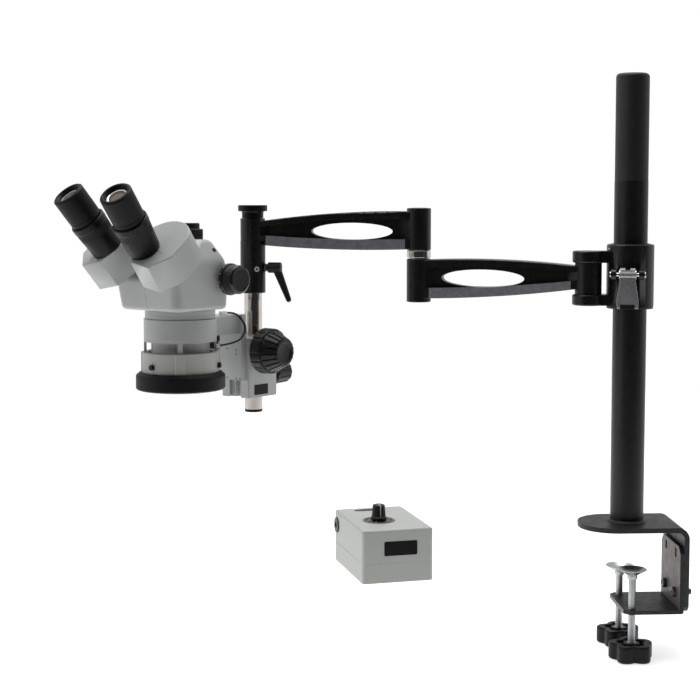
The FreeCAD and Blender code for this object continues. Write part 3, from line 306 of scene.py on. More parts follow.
def recoloured(mat, mask, dark, light, scale, detail=4.0):
    """Paints a second, mottled colour where the mask is 1."""
    nt = mat.node_tree
    bsdf = nt.nodes["Principled BSDF"]
    first = bsdf.inputs["Base Color"].links[0].from_socket
    second = two_tone(nt, noise(nt, scale, detail), dark, light)
    mix = node(nt, "Mix", data_type="RGBA")
    nt.links.new(mask.outputs[0], mix.inputs[MIX_FACTOR])
    nt.links.new(first, mix.inputs[MIX_A])
    nt.links.new(second.outputs["Color"], mix.inputs[MIX_B])
    nt.links.new(mix.outputs[MIX_OUT], bsdf.inputs["Base Color"])
    return mat


def arm_paint_floor_reflection(name, matrix, split_z):
    """Arm casting: black paint, with the outer face of the lower flange painted lighter grey as a painted
    reflection of the pale floor.
    """
    mat = finish_of(name, ARM_BLACK, 0.30, (2200.0, 0.08, 0.00003), 0.15, 0.06, specular=0.4)
    nt = mat.node_tree
    across = (matrix.to_3x3() @ Vector((0, 1, 0))).normalized()
    along = (matrix.to_3x3() @ Vector((1, 0, 0))).normalized()
    off = node(nt, "Math", operation="SUBTRACT")
    off.inputs[1].default_value = across.dot(matrix.translation)
    link(nt, along_axis(nt, across), "Value", off, 0)
    away = node(nt, "Math", operation="ABSOLUTE")
    link(nt, off, 0, away, 0)
    outer = compared(nt, away, 0, "GREATER_THAN", ARM_HALF * MM)
    low = compared(nt, along_axis(nt, UP), "Value", "LESS_THAN", split_z * MM)
    between = compared(nt, along_axis(nt, along), "Value", "COMPARE",
                       along.dot(matrix.translation) + FLANGE_MIDDLE * MM, FLANGE_HALF * MM)
    mask = both_of(nt, outer, both_of(nt, low, between))
    # Lighter grey on the lower flange's outer face: painted reflection of the pale floor below.
    return recoloured(mat, mask, (0.155, 0.155, 0.175), (0.205, 0.205, 0.225), 160.0)


def jaw_paint():
    """Clamp jaw: black, with thin grey-brown primer on the face that meets the table's edge."""
    mat = finish_of("jaw_paint", (0.017, 0.017, 0.019), 0.46, (1500.0, 0.30, 0.00008), 0.12, 0.08,
                    specular=0.22, wear=0.2)
    nt = mat.node_tree
    inward = -(CLAMP.to_3x3() @ Vector((1, 0, 0))).normalized()
    inner = compared(nt, along_axis(nt, inward, "Normal"), "Value", "GREATER_THAN", 0.9)
    below = compared(nt, along_axis(nt, UP), "Value", "LESS_THAN", PRIMER_TOP * MM)
    return recoloured(mat, both_of(nt, inner, below), (0.115, 0.100, 0.090), (0.160, 0.142, 0.130), 70.0, 6.0)


def crowned_steel(height):
    """Cam lever: satin steel paddle, bright chrome above a height."""
    mat = finish_of("lever_steel", (0.36, 0.35, 0.375), 0.30, (700.0, 0.05, 0.00003), 0.06, metallic=0.6)
    above = compared(mat.node_tree, along_axis(mat.node_tree, UP), "Value", "GREATER_THAN", height)
    return recoloured(mat, above, (0.85, 0.86, 0.88), (0.95, 0.95, 0.96), 300.0)


def post_metal(dull_below):
    """Post of the microscope: polished chrome, dulled by handling at its lower end."""
    mat = turned_metal("post_chrome", (0.76, 0.71, 0.66), 0.10, 900.0, 0.000002, 0.04)
    nt = mat.node_tree
    bsdf = nt.nodes["Principled BSDF"]
    polished = bsdf.inputs["Roughness"].links[0].from_socket
    dull = ranged(nt, along_axis(nt, UP), "Value", 0.5, 0.0, dull_below - 3.0 * MM, dull_below)
    rough = node(nt, "Math", operation="ADD")
    nt.links.new(polished, rough.inputs[0])
    link(nt, dull, "Result", rough, 1)
    link(nt, rough, 0, bsdf, "Roughness")
    return mat


GREY = (0.43, 0.44, 0.44)
MATS = {
    "clamp_black": finish_of("clamp_paint", (0.019, 0.019, 0.021), 0.46, (1500.0, 0.30, 0.00008), 0.12, 0.08,
                             specular=0.22, wear=0.2),
    "pole_black": finish_of("pole_paint", (0.007, 0.007, 0.0075), 0.36, (2600.0, 0.12, 0.00003), 0.15, 0.05,
                            specular=0.35),
    "upper_pole": finish_of("pole_paint_upper", (0.015, 0.015, 0.016), 0.5, (3400.0, 0.2, 0.00004), 0.15,
                            0.05, specular=0.4),
    "arm_black": finish_of("casting_paint", ARM_BLACK, 0.30, (2200.0, 0.08, 0.00003), 0.15, 0.06,
                           specular=0.4),
    # Both arm paints hold a painted floor reflection on the lower flange's outer face.
    "lower_arm_paint": arm_paint_floor_reflection("lower_arm_paint", ARM_1, 299.5),
    "upper_arm_paint": arm_paint_floor_reflection("upper_arm_paint", ARM_2, 351.5),
    "jaw_paint": jaw_paint(),
    "lever_steel": crowned_steel(at("cam_lever_turn").z + 1.0 * MM),
    "post_chrome": post_metal(153.0 * MM),
    "zinc": finish_of("bright_zinc", (0.46, 0.48, 0.49), 0.36, (900.0, 0.10, 0.00003), 0.10, 0.08,
                      metallic=1.0),
    "steel": turned_metal("ground_steel", (0.70, 0.69, 0.68), 0.22),
    "chrome": turned_metal("hard_chrome", (0.74, 0.71, 0.67), 0.10, 900.0, 0.000002, 0.04),
    "brass": finish_of("brass", (0.62, 0.45, 0.20), 0.28, (1500.0, 0.1, 0.00002), 0.1, metallic=1.0),
    "set_ring": finish_of("pale_ring", (0.62, 0.60, 0.57), 0.35, (900.0, 0.06, 0.00003), 0.06,
                          metallic=0.3),
    "bolt_steel": finish_of("bolt_steel", (0.10, 0.10, 0.105), 0.40, (900.0, 0.1, 0.00003), 0.15,
                            metallic=0.6),
    "scope_grey": finish_of("scope_paint", GREY, 0.36, (1700.0, 0.16, 0.00005), 0.025, 0.06, coat=0.15),
    "adapter_grey": speckled("adapter_moulding", (0.40, 0.40, 0.38), (0.46, 0.46, 0.44), 0.42, 1800.0),
    "black_plastic": speckled("black_moulding", (0.006, 0.006, 0.0065), (0.012, 0.012, 0.0125), 0.36, 2400.0,
                              0.35),
    "star_black": speckled("star_moulding", (0.0035, 0.0035, 0.004), (0.007, 0.007, 0.0075), 0.40, 2400.0,
                           0.2),
    "zoom_black": finish_of("polished_moulding", (0.012, 0.012, 0.013), 0.22, (900.0, 0.06, 0.00003), 0.12,
                            0.05),
    "black_anodised": finish_of("black_anodised", (0.004, 0.004, 0.0045), 0.38, (3800.0, 0.12, 0.00002),
                                0.15, 0.06, specular=0.22),
    "bush_plastic": speckled("acetal_black", (0.02, 0.02, 0.02), (0.03, 0.03, 0.03), 0.5, 1500.0),
    "eye_rubber": speckled("soft_rubber", (0.003, 0.003, 0.0034), (0.006, 0.006, 0.0065), 0.50, 2100.0, 0.20),
    "glass": lens_glass("coated_glass", (0.16, 0.12, 0.10), (0.26, 0.22, 0.20)),
    "diffuser_white": speckled("opal_diffuser", (0.80, 0.81, 0.82), (0.88, 0.88, 0.88), 0.35, 700.0),
    "board": speckled("circuit_board", (0.02, 0.11, 0.05), (0.03, 0.16, 0.07), 0.4, 500.0),
    "cord_black": finish_of("cord_jacket", (0.005, 0.005, 0.005), 0.50, (3000.0, 0.2, 0.00003), 0.2, 0.06,
                            specular=0.2),
    "connector_white": speckled("nylon_white", (0.86, 0.88, 0.88), (0.93, 0.94, 0.94), 0.3, 1500.0),
    "case_grey": speckled("textured_abs", (0.46, 0.48, 0.45), (0.53, 0.55, 0.52), 0.50, 1300.0),
    "white_ink": finish_of("white_ink", (0.80, 0.80, 0.78), 0.5, (900.0, 0.1, 0.00002), 0.04),
    # Near-black for screws sunk in holes: painted shade of the holes.
    "painted_hole_shade": finish_of("hole_shade_black", (0.004, 0.004, 0.004), 0.8, (900.0, 0.1, 0.00002), 0.2),
    "label_black": finish_of("label_film", (0.010, 0.010, 0.011), 0.38, (500.0, 0.05, 0.00002), 0.12,
                             specular=0.15),
    "seam_dark": finish_of("shadow_gap", (0.06, 0.06, 0.06), 0.7, (700.0, 0.1, 0.00002), 0.1),
}


# ---- mesh helpers, in millimetres of a local frame ----
def linked(name, data):
    obj = bpy.data.objects.new(name, data)
    bpy.context.scene.collection.objects.link(obj)
    return obj


def finished(name, bm, matrix, mat, body, slot=None, replaces=(), sharp=32.0, weighted=True):
    """Turns a bmesh into a piece that rides on a body."""
    bmesh.ops.remove_doubles(bm, verts=bm.verts, dist=1e-4)
    bmesh.ops.recalc_face_normals(bm, faces=bm.faces)
    mesh = bpy.data.meshes.new(name)
    bm.to_mesh(mesh)
    bm.free()
    mesh.transform(matrix)
    if matrix.determinant() < 0:
        mesh.flip_normals()
    mesh.polygons.foreach_set("use_smooth", [True] * len(mesh.polygons))
    mesh.set_sharp_from_angle(angle=math.radians(sharp))
    mesh.materials.append(MATS[mat])
    obj = linked(name, mesh)
    if weighted:
        mod = obj.modifiers.new("normals", "WEIGHTED_NORMAL")
        mod.keep_sharp = True
    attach(obj, body)
    if replaces:
        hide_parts(*replaces)
        USED.update(replaces)
    return obj


def rounded(profile, steps=4):
    """Polyline from (r, z) or (r, z, fillet) points, with the filleted corners as arcs."""
    pts = []
    n = len(profile)
    for i, p in enumerate(profile):
        here = Vector(p[:2])
        fillet = p[2] if len(p) > 2 else 0.0
        if not fillet or i in (0, n - 1):
            pts.append(here)
            continue
        a, b = Vector(profile[i - 1][:2]) - here, Vector(profile[i + 1][:2]) - here
        half = a.angle(b) / 2
        trim = min(fillet / math.tan(half), 0.49 * a.length, 0.49 * b.length)
        r = trim * math.tan(half)
        first, last = here + a.normalized() * trim, here + b.normalized() * trim
        centre = here + (a.normalized() + b.normalized()).normalized() * (r / math.sin(half))
        v0, v1 = first - centre, last - centre
        total = v0.angle_signed(v1)
        for k in range(steps + 1):
            t = -total * k / steps
            c, s = math.cos(t), math.sin(t)
            pts.append(centre + Vector((v0.x * c - v0.y * s, v0.x * s + v0.y * c)))
    return [(p.x, p.y) for p in pts]


def densify(profile, step):
    out = [profile[0]]
    for a, b in zip(profile, profile[1:]):
        n = max(1, int(math.dist(a, b) / step))
        out += [(a[0] + (b[0] - a[0]) * k / n, a[1] + (b[1] - a[1]) * k / n) for k in range(1, n + 1)]
    return out


def lathe(profile, seg=96, radius=None, loop=False, bm=None, centre=(0, 0)):
    """Solid of revolution about Z; radius(angle, r, z) may modulate it. loop joins the ends (a ring)."""
    bm = bm or bmesh.new()
    rings = []
    for r, z in profile:
        if r < 1e-6 and not loop:
            rings.append([bm.verts.new((centre[0], centre[1], z))])
            continue
        row = []
        for i in range(seg):
            a = 2 * math.pi * i / seg
            rr = radius(a, r, z) if radius else r
            row.append(bm.verts.new((centre[0] + rr * math.cos(a), centre[1] + rr * math.sin(a), z)))
        rings.append(row)
    pairs = list(zip(rings, rings[1:])) + ([(rings[-1], rings[0])] if loop else [])
    for lower, upper in pairs:
        for i in range(seg):
            j = (i + 1) % seg
            if len(lower) == 1 and len(upper) == 1:
                continue
            if len(lower) == 1:
                bm.faces.new((lower[0], upper[i], upper[j]))
            elif len(upper) == 1:
                bm.faces.new((lower[i], upper[0], lower[j]))
            else:
                bm.faces.new((lower[i], lower[j], upper[j], upper[i]))
    return bm


def turned(name, profile, seg, here, mat, body, fine=4, step=None, cut=None, loop=False,
           centre=(0, 0), **how):
    """A piece of revolution: a profile with fillets, turned about Z of its frame."""
    line = rounded(profile, fine)
    bm = lathe(densify(line, step) if step else line, seg, cut, loop, centre=centre)
    return finished(name, bm, here, mat, body, **how)


def scallops(n, depth, share, z0=-1e9, z1=1e9, fade=1.0, phase=0.0):
    """Radius function with n round-bottomed grooves between z0 and z1."""
    def radius(angle, r, z):
        u = ((angle + phase) * n / (2 * math.pi)) % 1.0 - 0.5
        if abs(u) >= share:
            return r
        k = min(1.0, max(0.0, (z - z0) / fade), max(0.0, (z1 - z) / fade)) if z0 < z < z1 else 0.0
        return r - depth * k * math.sqrt(1 - (u / share) ** 2)
    return radius


def beyond(limit, cut):
    """The same radius function, applied only to points farther out than limit."""
    return lambda angle, r, z: cut(angle, r, z) if r > limit else r


def span(name):
    """Lowest and highest Z of a node, in millimetres."""
    low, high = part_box(name)
    return low.z / MM, high.z / MM


def polygon(r, corners):
    """Outline of a regular polygon, which with many corners is a circle."""
    turns = [2 * math.pi * k / corners for k in range(corners)]
    return [(r * math.cos(t), r * math.sin(t)) for t in turns]


def outline_slab(points, z0, z1, bevel=0.4, steps=2):
    """Prism over an outline, with all its sharp edges rounded."""
    bm = bmesh.new()
    low = [bm.verts.new((x, y, z0)) for x, y in points]
    top = [bm.verts.new((x, y, z1)) for x, y in points]
    bm.faces.new(low[::-1])
    bm.faces.new(top)
    for i in range(len(points)):
        j = (i + 1) % len(points)
        bm.faces.new((low[i], low[j], top[j], top[i]))
    bmesh.ops.recalc_face_normals(bm, faces=bm.faces)
    round_edges(bm, bevel, steps)
    return bm


def round_edges(bm, width, steps=2, angle=30.0):
    if width <= 0:
        return
    limit = math.radians(angle)
    edges = [e for e in bm.edges if len(e.link_faces) == 2 and e.calc_face_angle(0.0) > limit]
    bmesh.ops.bevel(bm, geom=edges, offset=width, offset_type="OFFSET", segments=steps, profile=0.5,
                    affect="EDGES", clamp_overlap=True)


def joined(target, other):
    """Adds a second mesh to the first and frees it."""
    temp = bpy.data.meshes.new("joining")
    other.to_mesh(temp)
    other.free()
    target.from_mesh(temp)
    bpy.data.meshes.remove(temp)
    return target


def placed(bm, matrix):
    bmesh.ops.transform(bm, matrix=matrix, verts=bm.verts)
    return bm


def round_rect(x0, x1, y0, y1, r, steps=6):
    pts = []
    for cx, cy, start in ((x1 - r, y1 - r, 0), (x0 + r, y1 - r, 90), (x0 + r, y0 + r, 180),
                          (x1 - r, y0 + r, 270)):
        for k in range(steps + 1):
            a = math.radians(start + 90 * k / steps)
            pts.append((cx + r * math.cos(a), cy + r * math.sin(a)))
    return pts


def soften(bm, lowest, highest, shortest, width):
    """Rounds the long creases whose angle is between two limits."""
    low, high = math.radians(lowest), math.radians(highest)
    edges = [e for e in bm.edges if len(e.link_faces) == 2 and e.calc_length() > shortest
             and low < e.calc_face_angle(0.0) < high]
    bmesh.ops.bevel(bm, geom=edges, offset=width, offset_type="OFFSET", segments=3, profile=0.5,
                    affect="EDGES", clamp_overlap=True)


def refine(name, bevel=0.4, mat=None, steps=2, sharp=32.0, angle=32.0, creases=None):
    """A copy of a CAD node with welded faces and rounded edges, which stands for it."""
    bm = bmesh.new()
    bm.from_mesh(NODES[name].data)
    bmesh.ops.scale(bm, vec=(1000, 1000, 1000), verts=bm.verts)
    bmesh.ops.remove_doubles(bm, verts=bm.verts, dist=2e-3)
    bmesh.ops.dissolve_limit(bm, angle_limit=math.radians(0.6), verts=bm.verts, edges=bm.edges)
    bmesh.ops.recalc_face_normals(bm, faces=bm.faces)
    if creases:
        soften(bm, *creases)
    round_edges(bm, bevel, steps, angle)
    return finished(name + "_body", bm, Matrix.Scale(MM, 4), mat or SLOT_OF[name], BODY_OF[name],
                    slot=SLOT_OF[name], replaces=(name,), sharp=sharp)


# ---- pole, clamp and collar ----
def pole():
    turned("pole_lower_tube", [(POLE_INNER_R, POLE_FOOT_Z), (POLE_R, POLE_FOOT_Z, 0.5),
           (POLE_R, POLE_JOINT_Z, 0.1), (POLE_INNER_R, POLE_JOINT_Z)], 128, WORLD, "pole_black", "stand",
           loop=True, replaces=("pole_lower",))
    turned("pole_upper_tube", [(0, POLE_JOINT_Z + 0.02), (UPPER_POLE_R, POLE_JOINT_Z + 0.02, 0.05),
           (UPPER_POLE_R, POLE_TOP_Z, 5.0), (0, POLE_TOP_Z)], 128, WORLD, "upper_pole", "stand", fine=8,
           slot="pole_black", replaces=("pole_upper",))


def threaded(r, depth, pitch, z0, z1, seg=28, cuts=6):
    """Rod with a helical thread between z0 and z1."""
    def radius(angle, rr, z):
        if rr < r * 0.99:
            return rr
        phase = (z / pitch - angle / (2 * math.pi)) % 1.0
        return rr - depth * (1 - abs(2 * phase - 1))
    rows = int((z1 - z0) / pitch * cuts)
    profile = [(0, z0), (r - depth - 0.2, z0)]
    profile += [(r, z0 + 0.3 + (z1 - z0 - 0.6) * k / rows) for k in range(rows + 1)]
    profile += [(r - depth - 0.2, z1), (0, z1)]
    return lathe(profile, seg, radius)


def clamp_screws():
    for side in ("near", "far"):
        low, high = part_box(side + "_clamp_screw")
        here = basis(flat((low + high) / 2), Vector((1, 0, 0)))
        rod = threaded(4.45, 0.35, 2.0, low.z / MM, high.z / MM)
        finished(side + "_screw_thread", rod, here, "zinc", side + "_screw",
                 replaces=(side + "_clamp_screw",), sharp=50, weighted=False)
        star_knob(side, here)
        pad(side, here)


def star_knob(side, here):
    z0, z1 = span(side + "_star_knob")
    lobe_turn, hub_r, waist = math.radians(21), 14.0, 0.74

    def lobes(angle, r, z):
        swell = (0.5 + 0.5 * math.cos(5 * (angle - lobe_turn))) ** 0.65
        return r * (waist + (1 - waist) * swell)

    top = rounded([(4.5, z1), (9.5, z1, 1.0), (10.3, z1 - 4.0, 1.5), (16.5, z1 - 4.0, 1.5),
                   (18.0, z1, 1.2), (27.0, z1, 2.6), (27.0, z0, 2.6), (12.0, z0, 1.5),
                   (10.5, z0 + 2.5, 1.2), (0.01, z0 + 2.5)], 5)
    bm = lathe([(0, z1)] + top + [(0, z0 + 2.5)], 160, beyond(hub_r, lobes))
    finished(side + "_star_grip", bm, here, "star_black", side + "_screw", replaces=(side + "_star_knob",),
             sharp=40)
    finished(side + "_knob_nut", outline_slab(polygon(6.2, 6), z1 - 3.0, z1 + 0.3, 0.3), here, "zinc",
             side + "_screw")


def pad(side, here):
    rim = span(side + "_clamp_pad")[1]
    dish = rounded([(0, rim - 7.5), (5.8, rim - 7.5, 0.8), (10.5, rim - 4.6, 2.5), (16.9, rim - 0.9, 0.4),
                    (16.9, rim, 0.3), (15.6, rim, 0.3), (10.0, rim - 3.4, 1.5), (5.6, rim - 4.6, 1.0),
                    (0, rim - 4.6)])
    bm = lathe(dish, 120)
    hub = rounded([(4.6, rim - 12.0), (5.9, rim - 12.0, 0.6), (5.9, rim - 7.0, 0.4), (4.6, rim - 7.0)])
    lathe(hub, 48, loop=True, bm=bm)
    finished(side + "_pad_dish", bm, here, "zinc", side + "_pad", replaces=(side + "_clamp_pad",),
             weighted=False)


def socket_screw(name, frame_here, r, height, body, mat="zinc", hexagon=0.55, slot=None):
    """Cap screw with a hexagon socket, standing on z 0 of its frame."""
    bm = lathe(rounded([(0, 0), (r, 0), (r, height, r * 0.18), (r * hexagon + 0.02, height)], 3), 40)
    rows = []
    for z in (height, height * 0.35):
        rows.append([bm.verts.new((x, y, z)) for x, y in polygon(r * hexagon, 6)])
    for k in range(6):
        j = (k + 1) % 6
        bm.faces.new((rows[0][k], rows[0][j], rows[1][j], rows[1][k]))
    bm.faces.new(rows[1])
    return finished(name, bm, frame_here, mat, body, slot=slot, sharp=30)


def clamp():
    refine("clamp_bracket", 0.7)
    refine("clamp_jaw", 0.6, mat="jaw_paint")
    refine("jaw_bolts", 0.35, mat="bolt_steel")
    ripples = beyond(20.2, lambda angle, r, z: r + 0.12 * math.sin(46 * angle))
    turned("pole_foot_weld", [(19.4, 5.7), (23.6, 5.7, 1.0), (22.6, 7.2, 1.2), (20.0, 9.3, 1.0),
           (19.4, 9.3)], 96, WORLD, "clamp_black", "stand", cut=ripples, loop=True)


def collar():
    refine("pole_collar", 0.8, steps=3)
    refine("collar_pins", 0.4)
    refine("cam_lever", 0.5, mat="lever_steel", steps=3)
    tip = lying(CAM, (0, -38.2, span("cam_lever")[1] - 43.0), (0, 1, 0))
    insert = outline_slab([(-8.9, -5.2), (8.5, -5.2), (8.3, 0.4), (-8.5, 0.4)], 0.0, 1.5, 0.5, 3)
    finished("cam_lever_tip", insert, tip, "black_plastic", "cam_lever")
    turned("collar_bush_lip", [(20.2, 341.0), (23.4, 341.0, 0.3), (23.4, 341.6, 0.3), (20.2, 341.6)], 96,
           WORLD, "bush_plastic", "collar_bush", loop=True)
    away = Vector((-math.sin(math.radians(60)), -math.cos(math.radians(60)), 0))
    for k, z in enumerate((276.0, 334.0)):
        spot = lying(CAM, away * COLLAR_R + UP * z, away)
        socket_screw("collar_grub_%d" % k, spot, 2.6, 0.7, "collar", slot="steel")


# ---- arms ----
def arms():
    for name in ("lower_arm", "upper_arm"):
        refine(name, 0.55, mat=name + "_paint", steps=3)
    here = basis(ELBOW, Vector((1, 0, 0)))
    z0, z1 = span("elbow_ring")
    turned("elbow_ring_band", [(7.0, z0), (13.6, z0, 0.2), (13.6, z0 + 1.6), (15.0, z0 + 1.6, 0.5),
           (15.0, z1, 0.5), (7.0, z1)], 128, here, "chrome", "lower_arm", loop=True,
           replaces=("elbow_ring",))
    top = span("upper_arm")[1]
    turned("elbow_cap", [(0, top), (9.5, top, 0.2), (9.5, top + 0.35, 0.3), (0, top + 0.35)], 72, here,
           "arm_black", "upper_arm")
    foot = span("lower_arm")[0]
    turned("elbow_under_cap", [(0, foot - 0.5), (8.0, foot - 0.5, 0.4), (8.0, foot), (0, foot)], 72, here,
           "steel", "lower_arm")


# ---- post, its holder and levers ----
def post_set():
    here = basis(POST, FRONT)
    z0, z1 = span("scope_post")
    turned("post_rod", [(0, z0), (POST_R, z0, 0.3), (POST_R, z1, 0.8), (0, z1)], 128, here, "post_chrome",
           "post", replaces=("scope_post",))
    z0, z1 = span("post_end_ring")
    turned("post_end_cap", [(0, z0 + 0.6), (7.0, z0 + 0.6, 0.3), (7.5, z0, 0.3), (POST_R, z0, 0.7),
           (POST_R, z1, 0.2), (0, z1)], 96, here, "black_anodised", "post", replaces=("post_end_ring",))
    refine("post_holder", 0.5, steps=3)
    z0, z1 = span("swivel_knob")
    knurl = scallops(60, 0.22, 0.3, z0 + 9.4, z1 - 0.5, 0.3)
    turned("swivel_knob_cap", [(5.1, z0), (13.5, z0, 0.3), (13.5, z0 + 6.8, 0.6), (14.6, z0 + 8.7, 0.6),
           (18.1, z0 + 8.7, 0.5), (18.3, z0 + 9.3, 0.3), (18.3, z1 - 0.6, 0.4), (17.6, z1, 0.4),
           (12.0, z1 - 1.1, 2.0), (5.1, z1 - 1.5)], 144, here, "black_anodised", "swivel_knob", fine=3,
           step=2.5, cut=knurl, loop=True, replaces=("swivel_knob",), sharp=45)
    lever_piece()
    set_screw(here)


def lever_piece():
    """Stud, washer and end button round the clamp lever, along its joint's axis."""
    along = lying(LEVER, (0, 0, 0), (1, 0, 0))
    turned("lever_stud", [(0, POST_R + 0.5), (2.45, POST_R + 0.5), (2.45, LEVER_START + 6.0),
           (0, LEVER_START + 6.0)], 32, along, "steel", "holder_lever")
    z0, z1 = LEVER_START + 0.4, LEVER_START + 1.9
    turned("lever_washer", [(2.6, z0), (5.0, z0, 0.25), (5.0, z1, 0.25), (2.6, z1)], 48, along, "brass",
           "holder_lever", loop=True)
    refine("holder_lever", 0.7, steps=3)
    z0, z1 = LEVER_START + 20.6, LEVER_START + 21.4
    turned("lever_button", [(0, z0), (4.4, z0, 0.2), (4.4, z1, 0.4), (0, z1)], 40, along, "black_plastic",
           "holder_lever")


def set_screw(here):
    """Set screw in a bright ring, on the front right of the holder."""
    bearing = math.radians(-68.0)
    local = here.to_3x3().inverted() @ Vector((math.cos(bearing), math.sin(bearing), 0))
    local.normalize()
    ring_at = lying(here, (local.x * 15.1, local.y * 15.1, 307.0), local)
    turned("holder_set_ring", [(1.5, 0), (3.3, 0), (3.3, 0.95, 0.35), (1.5, 0.95, 0.2)], 40, ring_at,
           "set_ring", "post_holder", loop=True)
    # The screw is a near-black disc: painted shade of its hole.
    turned("holder_set_screw", [(0, 0), (1.55, 0), (1.55, 0.6, 0.1), (0, 0.6)], 24, ring_at, "painted_hole_shade",
           "post_holder", slot="steel")


# ---- focus block ----
def focus_group():
    refine("focus_block", 0.5)
    refine("focus_slide", 0.4)
    refine("head_holder", 0.5)
    spot = SCOPE.inverted() @ at("focus_turn")
    for side, name in ((1, "near"), (-1, "far")):
        here = lying(SCOPE, (spot.x, side * 35.0, spot.z), (0, side, 0))
        notches = beyond(24, scallops(18, 1.3, 0.13, 1.9, 16.0, 1.6, phase=0.13))
        turned("focus_ring_" + name, [(3.0, 1.5), (12.5, 1.5), (12.5, 0.0), (26.6, 0.0, 0.8),
               (28.4, 1.8, 1.2), (28.2, 14.6, 1.2), (26.9, 16.2, 0.6), (3.0, 16.2)], 18 * 16, here,
               "black_plastic", "focus_drive", step=1.2, cut=notches, loop=True, sharp=50)
        ribs = beyond(12.8, scallops(18, 1.9, 0.17, 16.8, 35.6, 1.4, phase=0.13))
        turned("focus_grip_" + name, [(3.0, 16.0), (25.4, 16.0, 0.4), (25.0, 17.6, 0.8),
               (17.8, 33.6, 2.6), (15.6, 35.4, 1.2), (13.2, 35.4, 0.8), (10.5, 33.4, 1.0), (0, 32.6)],
               18 * 16, here, "black_plastic", "focus_drive", fine=5, step=1.2, cut=ribs,
               replaces=("focus_knobs",) if side > 0 else (), sharp=50)
    rear = SCOPE.inverted() @ at("block_knob_turn")
    here = lying(SCOPE, (-18.7, rear.y, rear.z), (-1, 0, 0))
    ribs = beyond(9, scallops(10, 1.6, 0.2, 9.0, 35.0, 2.0))
    turned("block_knob_grip", [(0, -7.5), (3.0, -7.5), (3.0, 0.4), (6.5, 0.4, 0.5), (6.5, 7.6, 0.4),
           (14.0, 8.0, 1.0), (15.0, 10.0, 1.0), (14.1, 34.0, 1.5), (11.8, 36.0, 1.0), (0, 36.0)], 180,
           here, "black_plastic", "block_knob", step=1.5, cut=ribs, replaces=("block_clamp_knob",),
           sharp=50)


def label(name, half_x, half_y, r, thick, here, body):
    """Blank label with round corners."""
    film = outline_slab(round_rect(-half_x, half_x, -half_y, half_y, r), 0.0, thick, 0.1)
    finished(name, film, here, "label_black", body)


def block_details():
    """Blank label on the block, and the screws of its slide."""
    here = lying(SCOPE, (11.0, 23.0, 157.0), (0, 1, 0), (0, 0, 1))
    label("block_label", 12.6, 6.4, 0.8, 0.28, here, "focus_block")
    for k, (y, z) in enumerate(((-5.0, 209.0), (10.0, 208.0), (10.0, 202.5), (-6.0, 172.5), (9.5, 172.3),
                                (16.0, 172.3))):
        spot = lying(SCOPE, (41.8, y, z), (1, 0, 0))
        socket_screw("slide_screw_%d" % k, spot, 1.3, 0.4, "carriage", "bolt_steel", 0.6)


# ---- ring light, adapter ----
def ring_light():
    turned("ring_light_case", [(33.0, 168.0, 0.5), (35.2, 168.0, 0.5), (35.2, 183.0), (50.6, 183.0),
           (50.6, 168.6, 0.3), (52.2, 168.0, 0.4), (53.4, 169.6, 1.2), (53.4, 185.0, 3.6),
           (48.6, 189.0, 2.6), (33.0, 189.0, 0.8), (33.0, 168.6)], 180, OPTICS, "eye_rubber", "carriage",
           fine=6, step=6.0, loop=True, replaces=("ring_light_housing",))
    turned("ring_light_window", [(35.3, 167.6, 0.4), (36.4, 166.5, 0.6), (49.4, 166.5, 0.6),
           (50.6, 167.6, 0.4), (50.6, 169.4), (35.3, 169.4)], 180, OPTICS, "diffuser_white", "carriage",
           fine=5, loop=True, replaces=("light_diffuser",))
    refine("light_adapter", 0.35)
    for k in range(3):
        thumb_screw(k)
    outward = (OPTICS.to_3x3().inverted() @ axis_of("ring_lock_turn")).normalized()
    height = (OPTICS.inverted() @ at("ring_lock_turn")).z
    here = lying(OPTICS, (38.0 * outward.x, 38.0 * outward.y, height), outward)
    knurl = scallops(20, 0.35, 0.3, 6.6, 13.6, 0.5)
    turned("lock_knob_grip", [(0, 0.3), (2.5, 0.3), (2.5, 5.8), (4.6, 6.2, 0.4), (5.2, 7.0, 0.4),
           (5.2, 13.2, 0.6), (4.4, 14.0, 0.4), (0, 14.0)], 120, here, "black_plastic", "ring_lock",
           step=1.0, cut=knurl, replaces=("holder_lock_knob",), sharp=45)


def thumb_screw(k):
    """One of the three screws that hold the light on its adapter."""
    a = math.radians(120 * k)
    out = Vector((math.cos(a), math.sin(a), 0))
    here = lying(OPTICS, out * 46.3 + UP * 197.0, out)
    knurl = scallops(16, 0.28, 0.3, 0.0, 3.2, 0.3)
    turned("adapter_thumb_%d" % k, [(0, -0.4), (3.3, -0.4), (3.3, 3.3, 0.5), (2.2, 3.7, 0.3),
           (1.4, 3.2, 0.2), (0, 3.2)], 96, here, "black_plastic", "carriage", step=0.8, cut=knurl,
           replaces=("adapter_screws",) if k == 0 else (), sharp=45)


CORD_ROUTE = [(95.5, 32.8, 219.0), (86.5, 35.2, 219.8), (73.3, 34.2, 220.9), (59.4, 32.2, 223.1),
              (48.8, 29.4, 228.9), (43.2, 26.6, 236.2), (42.8, 23.2, 243.8), (46.2, 18.8, 250.8),
              (51.8, 13.4, 255.6), (59.5, 8.8, 255.1)]
CORD_R = 1.15
CONNECTOR_Z = 252.6


